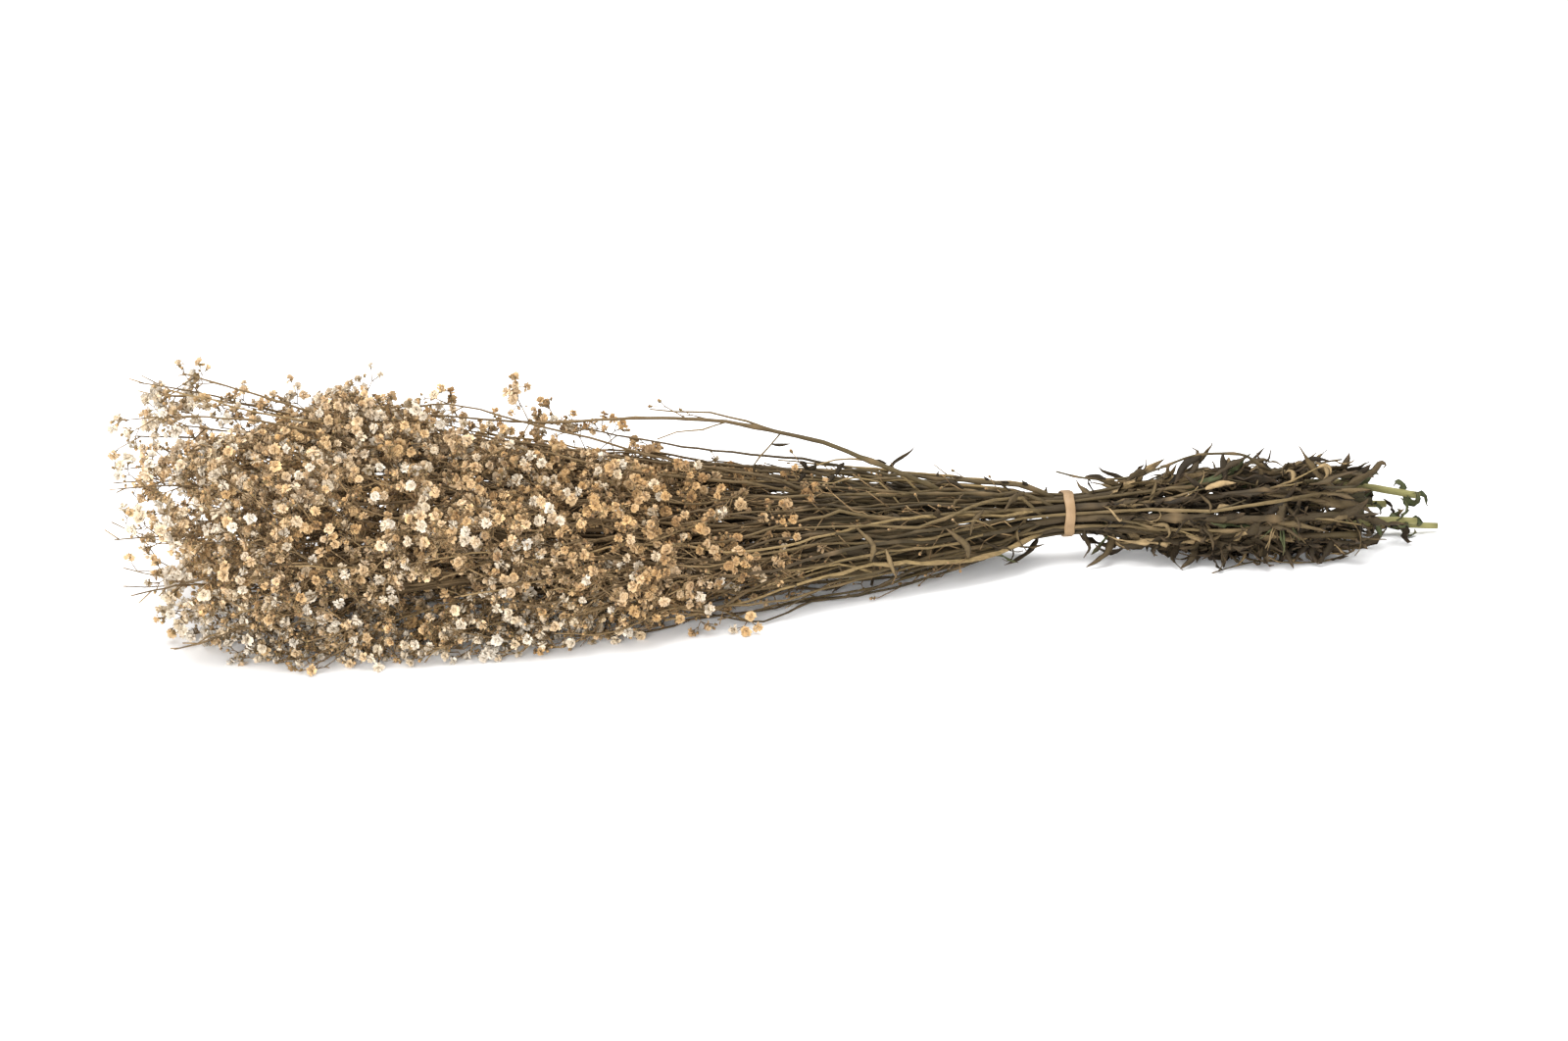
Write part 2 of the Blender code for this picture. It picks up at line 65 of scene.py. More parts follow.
# What drives the bunch, in metres, as in the part's source
SEED = 26
OUTER_STEMS = 9
INNER_STEMS = 3
BAND_X = 0.142
BAND_WIDTH = 0.005
BAND_THICKNESS = 0.0011
BAND_CENTRE_Z = 0.0228
BAND_HALF = 0.0113
STEM_RADIUS = 0.00245
CUT_RADIUS_SHARE = 1.1
TIP_RADIUS_SHARE = 0.28
TIP_X = -0.285
CORNERS = 1.0
TWIST = 1.3
LEFT_END = -0.322
OUTER_PLACE = 0.686
INNER_PLACE = 0.264
FLOWER_RADIUS = 0.0072
BUD_RADIUS = 0.003
BUD_SHARE = 0.15
TWIG_RADIUS = 0.0006
BRANCH_RADIUS = 0.0012
BRANCH_TIP_RADIUS = 0.0009
BRANCH_FOOT_SHARE = 0.6
BRANCHES = 7
INNER_BRANCHES = 4
FRONT_STEMS = (4, 5)
FRONT_BRANCHES = 8
BRANCH_WEDGE = 0.42
BRANCH_ENDS_X = (-0.03, -0.305)
FLOWERS_ON_BRANCH = 3
STEM_BEND = 0.07
LEAVES = 4
LEAF_LENGTHS = (0.02, 0.034)
LEAF_HALF_WIDTHS = (0.0022, 0.0036)
LEAF_CLEARANCE = 0.0025
CLEAR = 0.0005
GAP = 0.0003
BALL_STEP = 0.0015
NODE_STEP = 0.05
STRAIGHT = 0.004
BRANCH_TRIES, FLOWER_TRIES, LEAF_TRIES = 25, 30, 90
BAND_BALLS = 36  # that stand for the band while the stems are filled in
OUTLINE = (
    (-0.34, 0.08, 0.024, 0.044, 0.042),
    (-0.3, 0.092, 0.006, 0.076, 0.064),
    (-0.25, 0.096, 0.0, 0.104, 0.08),
    (-0.2, 0.093, 0.0, 0.108, 0.08),
    (-0.13, 0.075, 0.0, 0.1, 0.072),
    (-0.05, 0.06, 0.0, 0.081, 0.057),
    (0.02, 0.051, 0.0, 0.056, 0.04),
    (0.085, 0.0425, 0.002, 0.031, 0.023),
    (BAND_X, BAND_CENTRE_Z + BAND_HALF, BAND_CENTRE_Z - BAND_HALF, BAND_HALF, BAND_HALF),
    (0.185, 0.039, 0.006, 0.021, 0.019),
    (0.24, 0.044, 0.0, 0.035, 0.03),
    (0.285, 0.042, 0.0, 0.035, 0.032),
    (0.318, 0.03, 0.0, 0.033, 0.03),
    (0.345, 0.02, 0.0, 0.03, 0.028),
)
CUT_X = (0.328, 0.283, 0.292, 0.284, 0.286, 0.283, 0.281, 0.334, 0.312, 0.3, 0.292, 0.318)
STEM_GIRTH = (1.0, 0.96, 0.97, 1.04, 0.97, 0.98, 1.0, 0.98, 0.96, 1.0, 0.98, 1.0)
RESTING_STEM = 6
RESTS_FROM_X = 0.235
ARCH_STEM = 2
ARCH_Y = -0.012
ARCH_ROOT_X = 0.088
ARCH = ((0.054, 0.054), (0.019, 0.07), (-0.028, 0.083), (-0.065, 0.087), (-0.115, 0.087), (-0.17, 0.094))
SPRAYS = (
    (1, -0.165, ((-0.235, -0.004, 0.1), (-0.262, 0.0, 0.109), (-0.282, 0.002, 0.1155))),
    (0, -0.18, ((-0.25, 0.026, 0.09), (-0.278, 0.032, 0.094), (-0.298, 0.036, 0.095))),
    (5, 0.112,
     ((0.08, -0.011, 0.0085), (0.03, -0.023, 0.007), (-0.027, -0.044, 0.006), (-0.08, -0.068, 0.008))),
    (6, 0.118,
     ((0.088, -0.007, 0.005), (0.045, -0.031, 0.002), (0.005, -0.042, 0.002), (-0.04, -0.067, 0.004))),
)

# What is added here. Lengths are in metres, and a share is of 1
FULL_TURN = 6.28
LOWEST = 0.0002  # nothing that is drawn goes lower

# Stems, branches and twigs
STEM_STEP = 0.006  # between the rings of a stem
BRANCH_STEP = 0.007
THIN_STEP = 0.01
STEM_SIDES, BRANCH_SIDES, TWIG_SIDES, STALK_SIDES = 8, 6, 5, 3
LENGTHWISE = 0.25  # how much shorter a stem's map is drawn than the stem
KNOT_SWELL = 0.42  # how much thicker a stem is at a joint, as a share
KNOT_LENGTH = 0.0026
DRAWN_SHARES = ((-0.28, 0.44), (-0.04, 0.46), (0.075, 0.58), (0.125, 0.8), (0.15, 0.82), (0.19, 0.84))
DRAWN_GIRTHS = (0.84, 0.7, 0.92, 0.76, 1.0, 0.78, 0.94, 0.74, 0.86, 0.8, 0.8, 0.8)
FRESH_STEMS = (0, 7, 8, 11)  # still green at their cut ends
GREEN_FROM_X = 0.262
GREEN_LENGTH = 0.05
CARRIES_TO_X = 0.09  # a main stem carries no tufts right of this
COMPANION_PLACE = 0.8  # where a slender stem lies in the gap between two outer stems
COMPANION_RADIUS = 0.00095
COMPANION_ROOTS_X = (0.225, 0.285)
COMPANION_ENDS_X = (-0.22, -0.05)
SIDE_STEMS = 48
SIDE_STEM_RADIUS = 0.00088
SIDE_STEM_ROOTS_X = (0.118, 0.133)
SIDE_STEM_ENDS_X = (-0.2, 0.0)
LONG_BRANCHES = 17  # long thin side branches on each outer stem
LONG_BRANCH_RADIUS = 0.00088
LONG_BRANCH_STRAY = 0.0021
LONG_BRANCH_ENDS_X = (-0.27, -0.01)
TWIGLETS = 560
TWIGLETS_X = (-0.09, 0.115)
TWIGLET_RADII = (0.0004, 0.00028, 0.00022)  # at its root, at its fork and at its tip
TWIGLET_BUD_RADII = (0.0007, 0.0012)
TWIG_LOW = 0.0009  # the least height of a twig's tip
CROSSING_TWIGS = 170  # that lean across the stems between the band and the flowers
CROSSING_X = (-0.06, 0.125)
CROSSING_LENGTHS = (0.018, 0.05)
CROSSING_RADII = (0.0004, 0.0007)
CROSSING_TIP_RADIUS = 0.00026
RIGHT_TWIGS = 90
RIGHT_TWIGS_X = (0.158, 0.262)
RIGHT_TWIG_LENGTHS = (0.018, 0.046)
RIGHT_TWIG_RADII = (0.0005, 0.0009)
RIGHT_TWIG_TIP_RADIUS = 0.00032
TWIG_END_RADIUS = 0.00034
LOOSE_TUFT_STEP = 0.0085  # between the tufts near the end of a loose branch

# The rubber band
BAND_RINGS = 108
BAND_RING_POINTS = 12

# Tufts of florets
TUFT_SPACING = 0.0087  # the least distance between two tufts near the outside
INNER_SPACING = 0.0168
LUMP_SPACING = 0.0085
LUMP_TRIES = 60
TUFT_TRIES = 36000
MOST_TUFTS = 1800
TUFTS_X = (-0.325, 0.03)
TUFT_LOW = 0.004  # the least height of a tuft's middle
ANGLE_COST = 1.6  # what a twig's bend counts for beside its length
LEAST_REACH = 0.01  # of a twig to its tuft
LEAST_STRAIGHT = 0.3
MOST_COST = 0.16
OUT_OF_QUESTION = 9.0
PEDICEL_RADIUS = 0.00026
BIG_TUFT_CHANCE = 0.45  # that a tuft forks once more
MIDDLE_CHANCE = 0.75  # that a floret stands in the middle of a fork
FORK_CHANCE = 0.94
FORK_ANGLES = (0.42, 0.98)
FORK_SHARES = (0.62, 0.95)  # how long a fork's arms are beside what they grow from
FLORET_RADII = (0.0019, 0.0028)
FLORET_APART = 0.0037
FAR_END_X = -0.25
FAR_SWELL = 0.16  # how much larger the florets are at the far end, as a share
FLOOR_REST = 0.0023  # the least height of a floret's middle
FLORET_TONES = (0.5, 0.82)
WHITE_TONES = (0.84, 1.0)
SHRUNK_TONES = (0.25, 0.5)
SHRUNK_CHANCE = 0.12
WHITE_CHANCE = 0.05  # where none kept their white
WHITE_GAIN = 0.38  # how much likelier a white one is where most kept it
PALER_GAIN = 1.6
DEEP_LIGHT = 0.45  # where it is darker than this, the florets are plain ones
MIDDLE_STALKS = (0.0015, 0.0045)  # how long the stalk in the middle of a fork is
SIDE_STALKS = (0.002, 0.0058)
SIDE_BUD_CHANCE = 0.3
SIDE_BUD_RADII = (0.0005, 0.0009)
LOOSE_SLACK = 0.006  # how far out of the flower head a loose branch may stand
BUD_TONES = (0.05, 0.45)
BUD_CHANCE = 0.12
BUD_RADII = (0.0008, 0.0013)
CROWDED_RADII = (0.0008, 0.0012)  # of a bud that grows where a floret has no room
BUD_APART = 0.0022
CELL = 0.004  # of the coarse grid that holds the florets' places
FLORET_MAP = 0.006  # how wide a floret's own map is drawn

# Leaves
LEAF_STEP_RIGHT = 0.007  # between the places with leaves on a stem, right of the band
LEAF_STEP_LEFT = 0.017
LEAVES_END_X = 0.292
# The ways that a leaf lies, as (the share of the leaves up to this way, their lengths, how hard they pull
# along the stem, out of it and astray, their half widths, curls and droops)
LEAF_STYLES = (
    (0.78, (0.02, 0.042), (1.8, 3.4), 0.3, 0.85, (0.0018, 0.0037), (0.2, 2.2), (-0.1, 0.3)),
    (0.88, (0.012, 0.026), (0.7, 1.6), 0.6, 1.0, (0.0012, 0.0026), (1.0, 3.0), (0.2, 1.2)),
    (1.0, (0.012, 0.024), (0.4, 1.6), 0.8, 1.4, (0.0004, 0.0008), (1.5, 5.0), (0.0, 1.0)),
)
LEFT_FLAT_LENGTHS = (0.012, 0.026)  # of flat leaves left of the band
LEFT_WIDTH_SHARE = 0.62
LEFT_TONE_SHARE = 0.6
UNDER_LEAVES = 92  # crumpled ones under the bunch
UNDER_LEAVES_X = (0.176, 0.282)
UNDER_LEAF_STEMS = (4, 5, 5, 6, 6, 7)
UNDER_LEAF_LENGTHS = (0.014, 0.026)
UNDER_LEAF_WIDTHS = (0.002, 0.0036)
GREEN_LEAVES = 28  # at the cut ends
GREEN_LEAVES_X = (0.283, 0.326)
GREEN_LEAF_LENGTHS = (0.009, 0.018)
GREEN_LEAF_WIDTHS = (0.0018, 0.0032)
GREEN_CHANCE = 0.72  # the others are dry
THIN_LEAVES = 11  # in one curled tuft
THIN_LEAVES_X = 0.244
THIN_LEAVES_STEM = 4
THIN_LEAF_LENGTHS = (0.013, 0.02)
THIN_LEAF_WIDTHS = (0.0005, 0.0009)
TWIG_LEAF_CHANCE = 0.6  # at the knee and at the tip of a twig right of the band
TWIG_LEAF_LENGTHS = (0.009, 0.018)
TWIG_LEAF_WIDTHS = (0.001, 0.0022)
LOW_LEAF_LENGTHS = (0.008, 0.017)  # on the leafy twig that lies in front of the bunch
LOW_LEAF_WIDTHS = (0.0009, 0.0023)
LEAF_JOINTS = 8  # where a midrib bends
LEAF_LOW = 0.0014  # the least height of a leaf's midrib
LEAF_OUT = 0.95  # how far out in the bunch a leaf turns back, as a share
BLADE_PLACES = (-1.0, -0.42, 0.38, 1.0, 0.38, -0.42)  # across the blade, over its top and back below it
BLADE_TOPS = (0, 1, 1, 0, -1, -1)
BLADE_THICKNESS = 0.00022
BLADE_EDGE = 0.00012  # the least half width of a blade

# Where florets crowd into a lump, as x, y, z and radius
LUMPS = (
    (-0.208, 0.004, 0.093, 0.017),
    (-0.184, 0.002, 0.086, 0.013),
    (-0.234, -0.086, 0.012, 0.017),
    (-0.2, -0.076, 0.012, 0.013),
    (-0.164, -0.084, 0.012, 0.015),
    (-0.128, -0.08, 0.012, 0.013),
    (-0.09, -0.07, 0.013, 0.013),
    (-0.055, -0.058, 0.017, 0.012),
    (-0.018, -0.044, 0.024, 0.013),
    (0.002, -0.034, 0.029, 0.011),
    (-0.198, -0.036, 0.05, 0.014),
    (-0.178, -0.04, 0.024, 0.014),
    (-0.225, -0.04, 0.046, 0.013),
)
# Where the outside of the flower head opens into a dark hollow, as x, y, z and radius
HOLLOWS = (
    (-0.176, -0.062, 0.02, 0.0095),
    (-0.158, -0.06, 0.026, 0.007),
    (-0.184, -0.058, 0.067, 0.0065),
    (-0.196, -0.06, 0.058, 0.0048),
    (-0.2235, -0.062, 0.052, 0.006),
    (-0.088, -0.03, 0.034, 0.006),
)
OPENS_TO = (-0.147, -0.928, 0.342)  # the way the hollows open

# How far the flower head reaches: its top at x where y is 0, its front at x on the floor, its far end at z
TOPS = (
    (-0.32, 0.06), (-0.3, 0.08), (-0.254, 0.084), (-0.231, 0.093), (-0.208, 0.106), (-0.192, 0.101),
    (-0.176, 0.091), (-0.153, 0.078), (-0.111, 0.071), (-0.074, 0.062), (-0.046, 0.058), (0.016, 0.052),
)
FRONTS = (
    (-0.32, 0.02), (-0.291, 0.043), (-0.276, 0.058), (-0.256, 0.072), (-0.24, 0.098), (-0.226, 0.104),
    (-0.21, 0.092), (-0.196, 0.086), (-0.164, 0.099), (-0.131, 0.091), (-0.084, 0.08), (-0.04, 0.063),
    (-0.012, 0.053), (0.008, 0.038), (0.043, 0.03),
)
ENDS = ((0.0, -0.293), (0.018, -0.308), (0.041, -0.314), (0.065, -0.317), (0.08, -0.314), (0.103, -0.304),
        (0.122, -0.291))

# Loose branches that the photograph shows above the bunch and in front of it, as (stem, x of the root or
# nothing where it leaves another branch, radius, length of the end that has tufts, then x, y, z)
LOOSE = (
    (2, 0.06, 0.0008, 0.034,
     ((0.012, -0.01, 0.0555), (-0.031, -0.01, 0.061), (-0.059, -0.01, 0.063), (-0.096, -0.011, 0.071),
      (-0.136, -0.012, 0.08), (-0.172, -0.012, 0.088), (-0.205, -0.012, 0.099))),
    (3, 0.045, 0.0008, 0.034,
     ((-0.01, -0.018, 0.057), (-0.05, -0.02, 0.066), (-0.094, -0.02, 0.081), (-0.12, -0.02, 0.089),
      (-0.146, -0.02, 0.098), (-0.16, -0.02, 0.101), (-0.182, -0.02, 0.101))),
    (1, 0.07, 0.0008, 0.03,
     ((0.02, 0.004, 0.055), (-0.031, 0.004, 0.063), (-0.07, 0.003, 0.072), (-0.102, 0.002, 0.08))),
    (2, 0.03, 0.0008, 0.03,
     ((-0.02, -0.026, 0.056), (-0.07, -0.03, 0.066), (-0.105, -0.034, 0.076), (-0.143, -0.036, 0.088))),
    (1, -0.15, 0.0007, 0.03,
     ((-0.205, -0.012, 0.09), (-0.245, -0.018, 0.1), (-0.27, -0.02, 0.109), (-0.287, -0.021, 0.1145))),
    (2, -0.17, 0.0007, 0.036,
     ((-0.22, -0.03, 0.094), (-0.255, -0.036, 0.104), (-0.28, -0.04, 0.108), (-0.3, -0.042, 0.109))),
    (0, -0.19, 0.0007, 0.03, ((-0.24, 0.01, 0.092), (-0.275, 0.014, 0.102), (-0.3, 0.016, 0.107))),
    (3, -0.2, 0.0007, 0.06, ((-0.262, -0.045, 0.075), (-0.292, -0.06, 0.082), (-0.31, -0.066, 0.084))),
    (4, -0.2, 0.0007, 0.06, ((-0.262, -0.062, 0.058), (-0.296, -0.072, 0.062), (-0.314, -0.078, 0.064))),
    (4, -0.19, 0.0007, 0.06, ((-0.255, -0.07, 0.044), (-0.288, -0.08, 0.042), (-0.308, -0.086, 0.04))),
    (5, -0.18, 0.0007, 0.06, ((-0.24, -0.076, 0.022), (-0.272, -0.082, 0.016), (-0.29, -0.084, 0.012))),
    (2, None, 0.0006, 0.0,
     ((-0.0013, -0.012, 0.0762), (-0.018, -0.0105, 0.0825), (-0.035, -0.01, 0.0872), (-0.052, -0.01, 0.0892),
      (-0.064, -0.01, 0.0905))),
    (2, None, 0.00042, 0.0,
     ((-0.0013, -0.012, 0.0762), (-0.008, -0.0135, 0.069), (-0.0148, -0.0145, 0.0615))),
    (2, None, 0.0004, 0.0,
     ((-0.028, -0.012, 0.0828), (-0.04, -0.013, 0.08), (-0.052, -0.013, 0.0795), (-0.061, -0.012, 0.076))),
    (2, 0.072, 0.0006, 0.0,
     ((0.058, -0.006, 0.049), (0.04, -0.006, 0.058), (0.026, -0.007, 0.059), (0.014, -0.008, 0.057),
      (0.004, -0.009, 0.058))),
    (3, 0.06, 0.0005, 0.0,
     ((0.046, -0.012, 0.049), (0.034, -0.013, 0.052), (0.024, -0.014, 0.05), (0.012, -0.014, 0.051))),
    (2, 0.138, 0.00115, 0.0,
     ((0.124, -0.001, 0.0375), (0.104, -0.001, 0.0412), (0.084, -0.002, 0.0442), (0.06, -0.003, 0.0485),
      (0.03, -0.003, 0.0525), (-0.01, -0.004, 0.0555))),
    (1, 0.137, 0.001, 0.0,
     ((0.122, 0.003, 0.0372), (0.1, 0.004, 0.041), (0.07, 0.005, 0.0455), (0.04, 0.006, 0.05),
      (0.0, 0.006, 0.056))),
    (5, 0.128, 0.0012, 0.0,
     ((0.11, -0.022, 0.0145), (0.0875, -0.031, 0.0128), (0.0375, -0.0465, 0.0195), (-0.0013, -0.058, 0.0158),
      (-0.033, -0.066, 0.0105), (-0.0659, -0.072, 0.007))),
    (5, None, 0.0007, 0.0,
     ((-0.0013, -0.058, 0.0158), (-0.0307, -0.0625, 0.0156), (-0.0587, -0.0645, 0.0219))),
    (4, 0.131, 0.00095, 0.0,
     ((0.118, -0.009, 0.035), (0.1025, -0.016, 0.0375), (0.0817, -0.0275, 0.0358), (0.061, -0.037, 0.0336),
      (0.0282, -0.042, 0.0378), (-0.01, -0.047, 0.0405))),
    (3, 0.136, 0.001, 0.0,
     ((0.12, -0.006, 0.0362), (0.098, -0.01, 0.039), (0.066, -0.014, 0.042), (0.03, -0.016, 0.048),
      (-0.01, -0.016, 0.054))),
)


def clamped(value):
    return min(1.0, max(0.0, value))


def chances(dice, spread=1.0):
    """Three numbers by chance, for a direction or a shift."""
    return [dice.gauss(0, spread) for _ in range(3)]


def eased(t, span, start, end, first_slope, last_slope):
    """A smooth way from start to end, t of the way along a span, with these slopes at its ends."""
    return (
        (2 * t**3 - 3 * t**2 + 1) * start
        + (t**3 - 2 * t**2 + t) * span * first_slope
        + (3 * t**2 - 2 * t**3) * end
        + (t**3 - t**2) * span * last_slope
    )


def outline_at(x):
    """Top, underside, front and back spread of the bunch at x, on a smooth curve through the stations."""
    stations = np.array(OUTLINE)
    x = BAND_X if abs(x - BAND_X) <= STRAIGHT else min(max(x, stations[0, 0]), stations[-1, 0])
    last = len(stations) - 1
    i = min(int(np.searchsorted(stations[:, 0], x, side="right")) - 1, last - 1)
    i = max(i, 0)
    slopes = np.gradient(stations[:, 1:], stations[:, 0], axis=0)
    span = stations[i + 1, 0] - stations[i, 0]
    t = (x - stations[i, 0]) / span
    return eased(t, span, stations[i, 1:], stations[i + 1, 1:], slopes[i], slopes[i + 1])


def place(x, u, v):
    """The point at x that stands at (u, v) in the round of the bunch, from -1 to 1. The stems turn round each
    other a little along the bunch, and its underside is pressed flatter than its top."""
    top, underside, front, back = outline_at(x)
    turn = TWIST * (BAND_X - x)
    across = u * math.cos(turn) - v * math.sin(turn)
    up = u * math.sin(turn) + v * math.cos(turn)
    out = math.hypot(across, up)
    if up < 0:
        square = (max(abs(across), -up) / out) ** (-CORNERS * pressed(x))
        across *= square
        up *= square
    side = across * (front if across < 0 else back)
    return Vector((x, side, (top + underside + up * (top - underside)) / 2))


def place_round(x, reach, angle):
    """The point at x in this direction from the middle of the bunch, reach of the way to its outside."""
    return place(x, reach * math.cos(angle), reach * math.sin(angle))


def pressed(x):
    """How flat the underside lies, from 0 in the band to 1 where the flowers rest."""
    return min(1.0, abs(x - BAND_X) / 0.1)


def stem_place(index):
    """A stem's own place in the round of the bunch."""
    if index < OUTER_STEMS:
        angle = 2 * math.pi * (index + 0.5) / OUTER_STEMS
        return OUTER_PLACE * math.cos(angle), OUTER_PLACE * math.sin(angle)
    angle = 2 * math.pi * (index - OUTER_STEMS) / INNER_STEMS
    return INNER_PLACE * math.cos(angle), INNER_PLACE * math.sin(angle)


def stem_radius(index, x):
    """A stem is thickest at its cut end, and slender among the flowers."""
    base = STEM_RADIUS * STEM_GIRTH[index]
    if x > BAND_X:
        share = 1 + (CUT_RADIUS_SHARE - 1) * (x - BAND_X) / (CUT_X[index] - BAND_X)
    else:
        share = 1 + (TIP_RADIUS_SHARE - 1) * (BAND_X - x) / (BAND_X - TIP_X)
    return base * share


TABLE_X = np.linspace(-0.34, 0.345, 300)
TABLE = np.array([outline_at(x) for x in TABLE_X])


def outness(points):
    """How far out in the bunch each point lies, from 0 in its middle to 1 on its outside."""
    x, y, z = np.atleast_2d(points).T
    top, underside, front, back = (np.interp(x, TABLE_X, TABLE[:, k]) for k in range(4))
    middle = (top + underside) / 2
    return np.hypot(y / np.where(y < 0, front, back), (z - middle) / (top - middle))


def painted_light_factor(points, least=0.1):
    """How bright colour is painted there, as painted shade: darkest in the middle of the bunch, where shade
    falls, and full on its outside.
    """
    return least + (1 - least) * np.clip((outness(points) - 0.45) / 0.42, 0, 1)


class Room:
    """The balls that fill each stem and what grows on it, so that new growth is kept clear of other stems."""

    def __init__(self):
        self.balls = np.empty((0, 4))
        self.owners = np.empty(0, int)

    def take(self, balls, owner):
        self.balls = np.vstack([self.balls, balls])
        self.owners = np.append(self.owners, np.full(len(balls), owner))

    def free(self, balls, owner):
        others = self.balls[self.owners != owner]
        apart = np.linalg.norm(balls[:, None, :3] - others[None, :, :3], axis=2)
        return bool((apart - balls[:, None, 3] - others[None, :, 3]).min() > CLEAR)

    def crowded(self, ball, owner):
        """Whether a flower would sink into its own stem, a branch or another flower of it."""
        own = self.balls[self.owners == owner]
        apart = np.linalg.norm(own[:, :3] - ball[:, :3], axis=1)
        return bool((apart - own[:, 3] - 0.9 * ball[:, 3]).min() < 0)


def balls_along(points, radii):
    """Balls a short step apart along a line of points, each as x, y, z and radius."""
    found = []
    for a, b, first, second in zip(points, points[1:], radii, radii[1:]):
        steps = max(1, math.ceil((b - a).length / BALL_STEP))
        for k in range(steps + 1):
            t = k / steps
            found.append((*a.lerp(b, t), first + (second - first) * t))
    return np.array(found)


def evenly(start, end):
    """Places from start to end, about one internode apart."""
    count = max(1, round(abs(end - start) / NODE_STEP))
    return [start + (end - start) * k / count for k in range(count + 1)]


def main_stem(index):
    """A stem's own axis, from its cut end to its tip, with a slight bend at each joint."""
    dice = random.Random(SEED * 100 + index)
    u, v = stem_place(index)
    tip = TIP_X + dice.uniform(0.0, 0.03)
    points, radii = [], []
    for x in evenly(CUT_X[index], BAND_X + STRAIGHT) + evenly(BAND_X - STRAIGHT, tip):
        away = min(1.0, abs(x - BAND_X) / 0.12)
        inward = 1 - 0.05 * away if x < BAND_X else 1
        point = place(
            x,
            u * inward + dice.uniform(-STEM_BEND, STEM_BEND) * away,
            v * inward + dice.uniform(-STEM_BEND, STEM_BEND) * away,
        )
        radius = stem_radius(index, x)
        if index == RESTING_STEM:
            down = clamped((x - 0.17) / (RESTS_FROM_X - 0.17))
            point.z += (0.8 * radius - point.z) * down * down * (3 - 2 * down)
        points.append(point)
        radii.append(radius)
    return {"index": index, "points": points, "radii": radii, "branches": [], "flowers": [], "leaves": []}


def point_on(stem, x):
    """The stem's point at x."""
    for a, b in zip(stem["points"], stem["points"][1:]):
        if b.x <= x <= a.x:
            return a.lerp(b, (a.x - x) / (a.x - b.x))
    return stem["points"][-1 if x < stem["points"][-1].x else 0].copy()


def branch_to(stem, start_x, end, joints=3):
    """A side branch that leaves its stem at a small angle and curves away to its end."""
    start = point_on(stem, start_x)
    ahead = point_on(stem, start_x - 0.6 * (start_x - end.x))
    points = []
    for k in range(joints):
        t = k / (joints - 1)
        points.append(start.lerp(ahead, t).lerp(ahead.lerp(end, t), t))
    return points


def add_branch(room, stem, points, thickness=BRANCH_RADIUS):
    """Grows the branch if it stays clear of the other stems."""
    radii = [thickness + (BRANCH_TIP_RADIUS - thickness) * k / (len(points) - 1) for k in range(len(points))]
    radii[0] = min(thickness, BRANCH_FOOT_SHARE * stem_radius(stem["index"], points[0].x))
    balls = balls_along(points, radii)
    if not room.free(balls, stem["index"]):
        return False
    room.take(balls, stem["index"])
    stem["branches"].append({"points": points, "radii": radii})
    return True


def branch_count(index):
    if index in FRONT_STEMS:
        return FRONT_BRANCHES
    return BRANCHES if index < OUTER_STEMS else INNER_BRANCHES


def grow_branch(room, stem, order):
    """One side branch of a stem, to a free place in its own part of the flower head."""
    index = stem["index"]
    dice = random.Random(SEED * 1000 + index * 40 + order)
    u, v = stem_place(index)
    outer = index < OUTER_STEMS
    first, last = BRANCH_ENDS_X
    along = (order + dice.random()) / branch_count(index)
    for _ in range(BRANCH_TRIES):
        end_x = first + (last - first) * along**0.75 + dice.uniform(-0.012, 0.012)
        angle = math.atan2(v, u) + dice.uniform(-BRANCH_WEDGE, BRANCH_WEDGE) * (1 if outer else 2)
        reach = dice.uniform(0.6, 0.92) if outer else dice.uniform(0.1, 0.55)
        end = place_round(end_x, reach, angle)
        start_x = min(0.09, end_x + dice.uniform(0.08, 0.13))
        if add_branch(room, stem, branch_to(stem, start_x, end)):
            return


def grow_flowers(room, stem, branch, order, count):
    """Short stalks near a branch's end, each with a flower, and one flower on the end itself."""
    dice = random.Random(SEED * 7000 + stem["index"] * 400 + order)
    points = branch["points"]
    ahead = (points[-1] - points[-2]).normalized()
    for k in range(count):
        size = FLOWER_RADIUS * dice.uniform(0.75, 1.1)
        if dice.random() < BUD_SHARE:
            size = BUD_RADIUS
        for _ in range(FLOWER_TRIES):
            if k == 0:
                root = points[-1] - 0.002 * ahead
            else:
                root = points[-2].lerp(points[-1], dice.uniform(0.1, 0.9))
            side = Vector(chances(dice)).normalized()
            side -= side.dot(ahead) * ahead
            along = ahead * dice.uniform(0.2, 0.8) + side.normalized() * (0.15 if k == 0 else 1.0)
            length = size + dice.uniform(0.003, 0.005) if k == 0 else size + dice.uniform(0.003, 0.012)
            end = root + along.normalized() * length
            end.z = max(end.z, 0.7 * size)
            ball = np.array([(*end, size)])
            stalk = balls_along([root, end], [TWIG_RADIUS] * 2)
            if end.x < LEFT_END or room.crowded(ball, stem["index"]):
                continue
            if room.free(np.vstack([stalk, ball]), stem["index"]):
                room.take(np.vstack([stalk, ball]), stem["index"])
                bloom = {"root": root, "centre": end, "size": size, "spin": dice.uniform(0, FULL_TURN)}
                stem["flowers"].append(bloom)
                break


def leaf_line(root, away, droop, length, steps):
    """A leaf's midrib: it leaves its joint along away and bends over towards droop."""
    shares = [k / steps for k in range(steps + 1)]
    return [root + away * (length * t) + droop * (length * t * t) for t in shares]


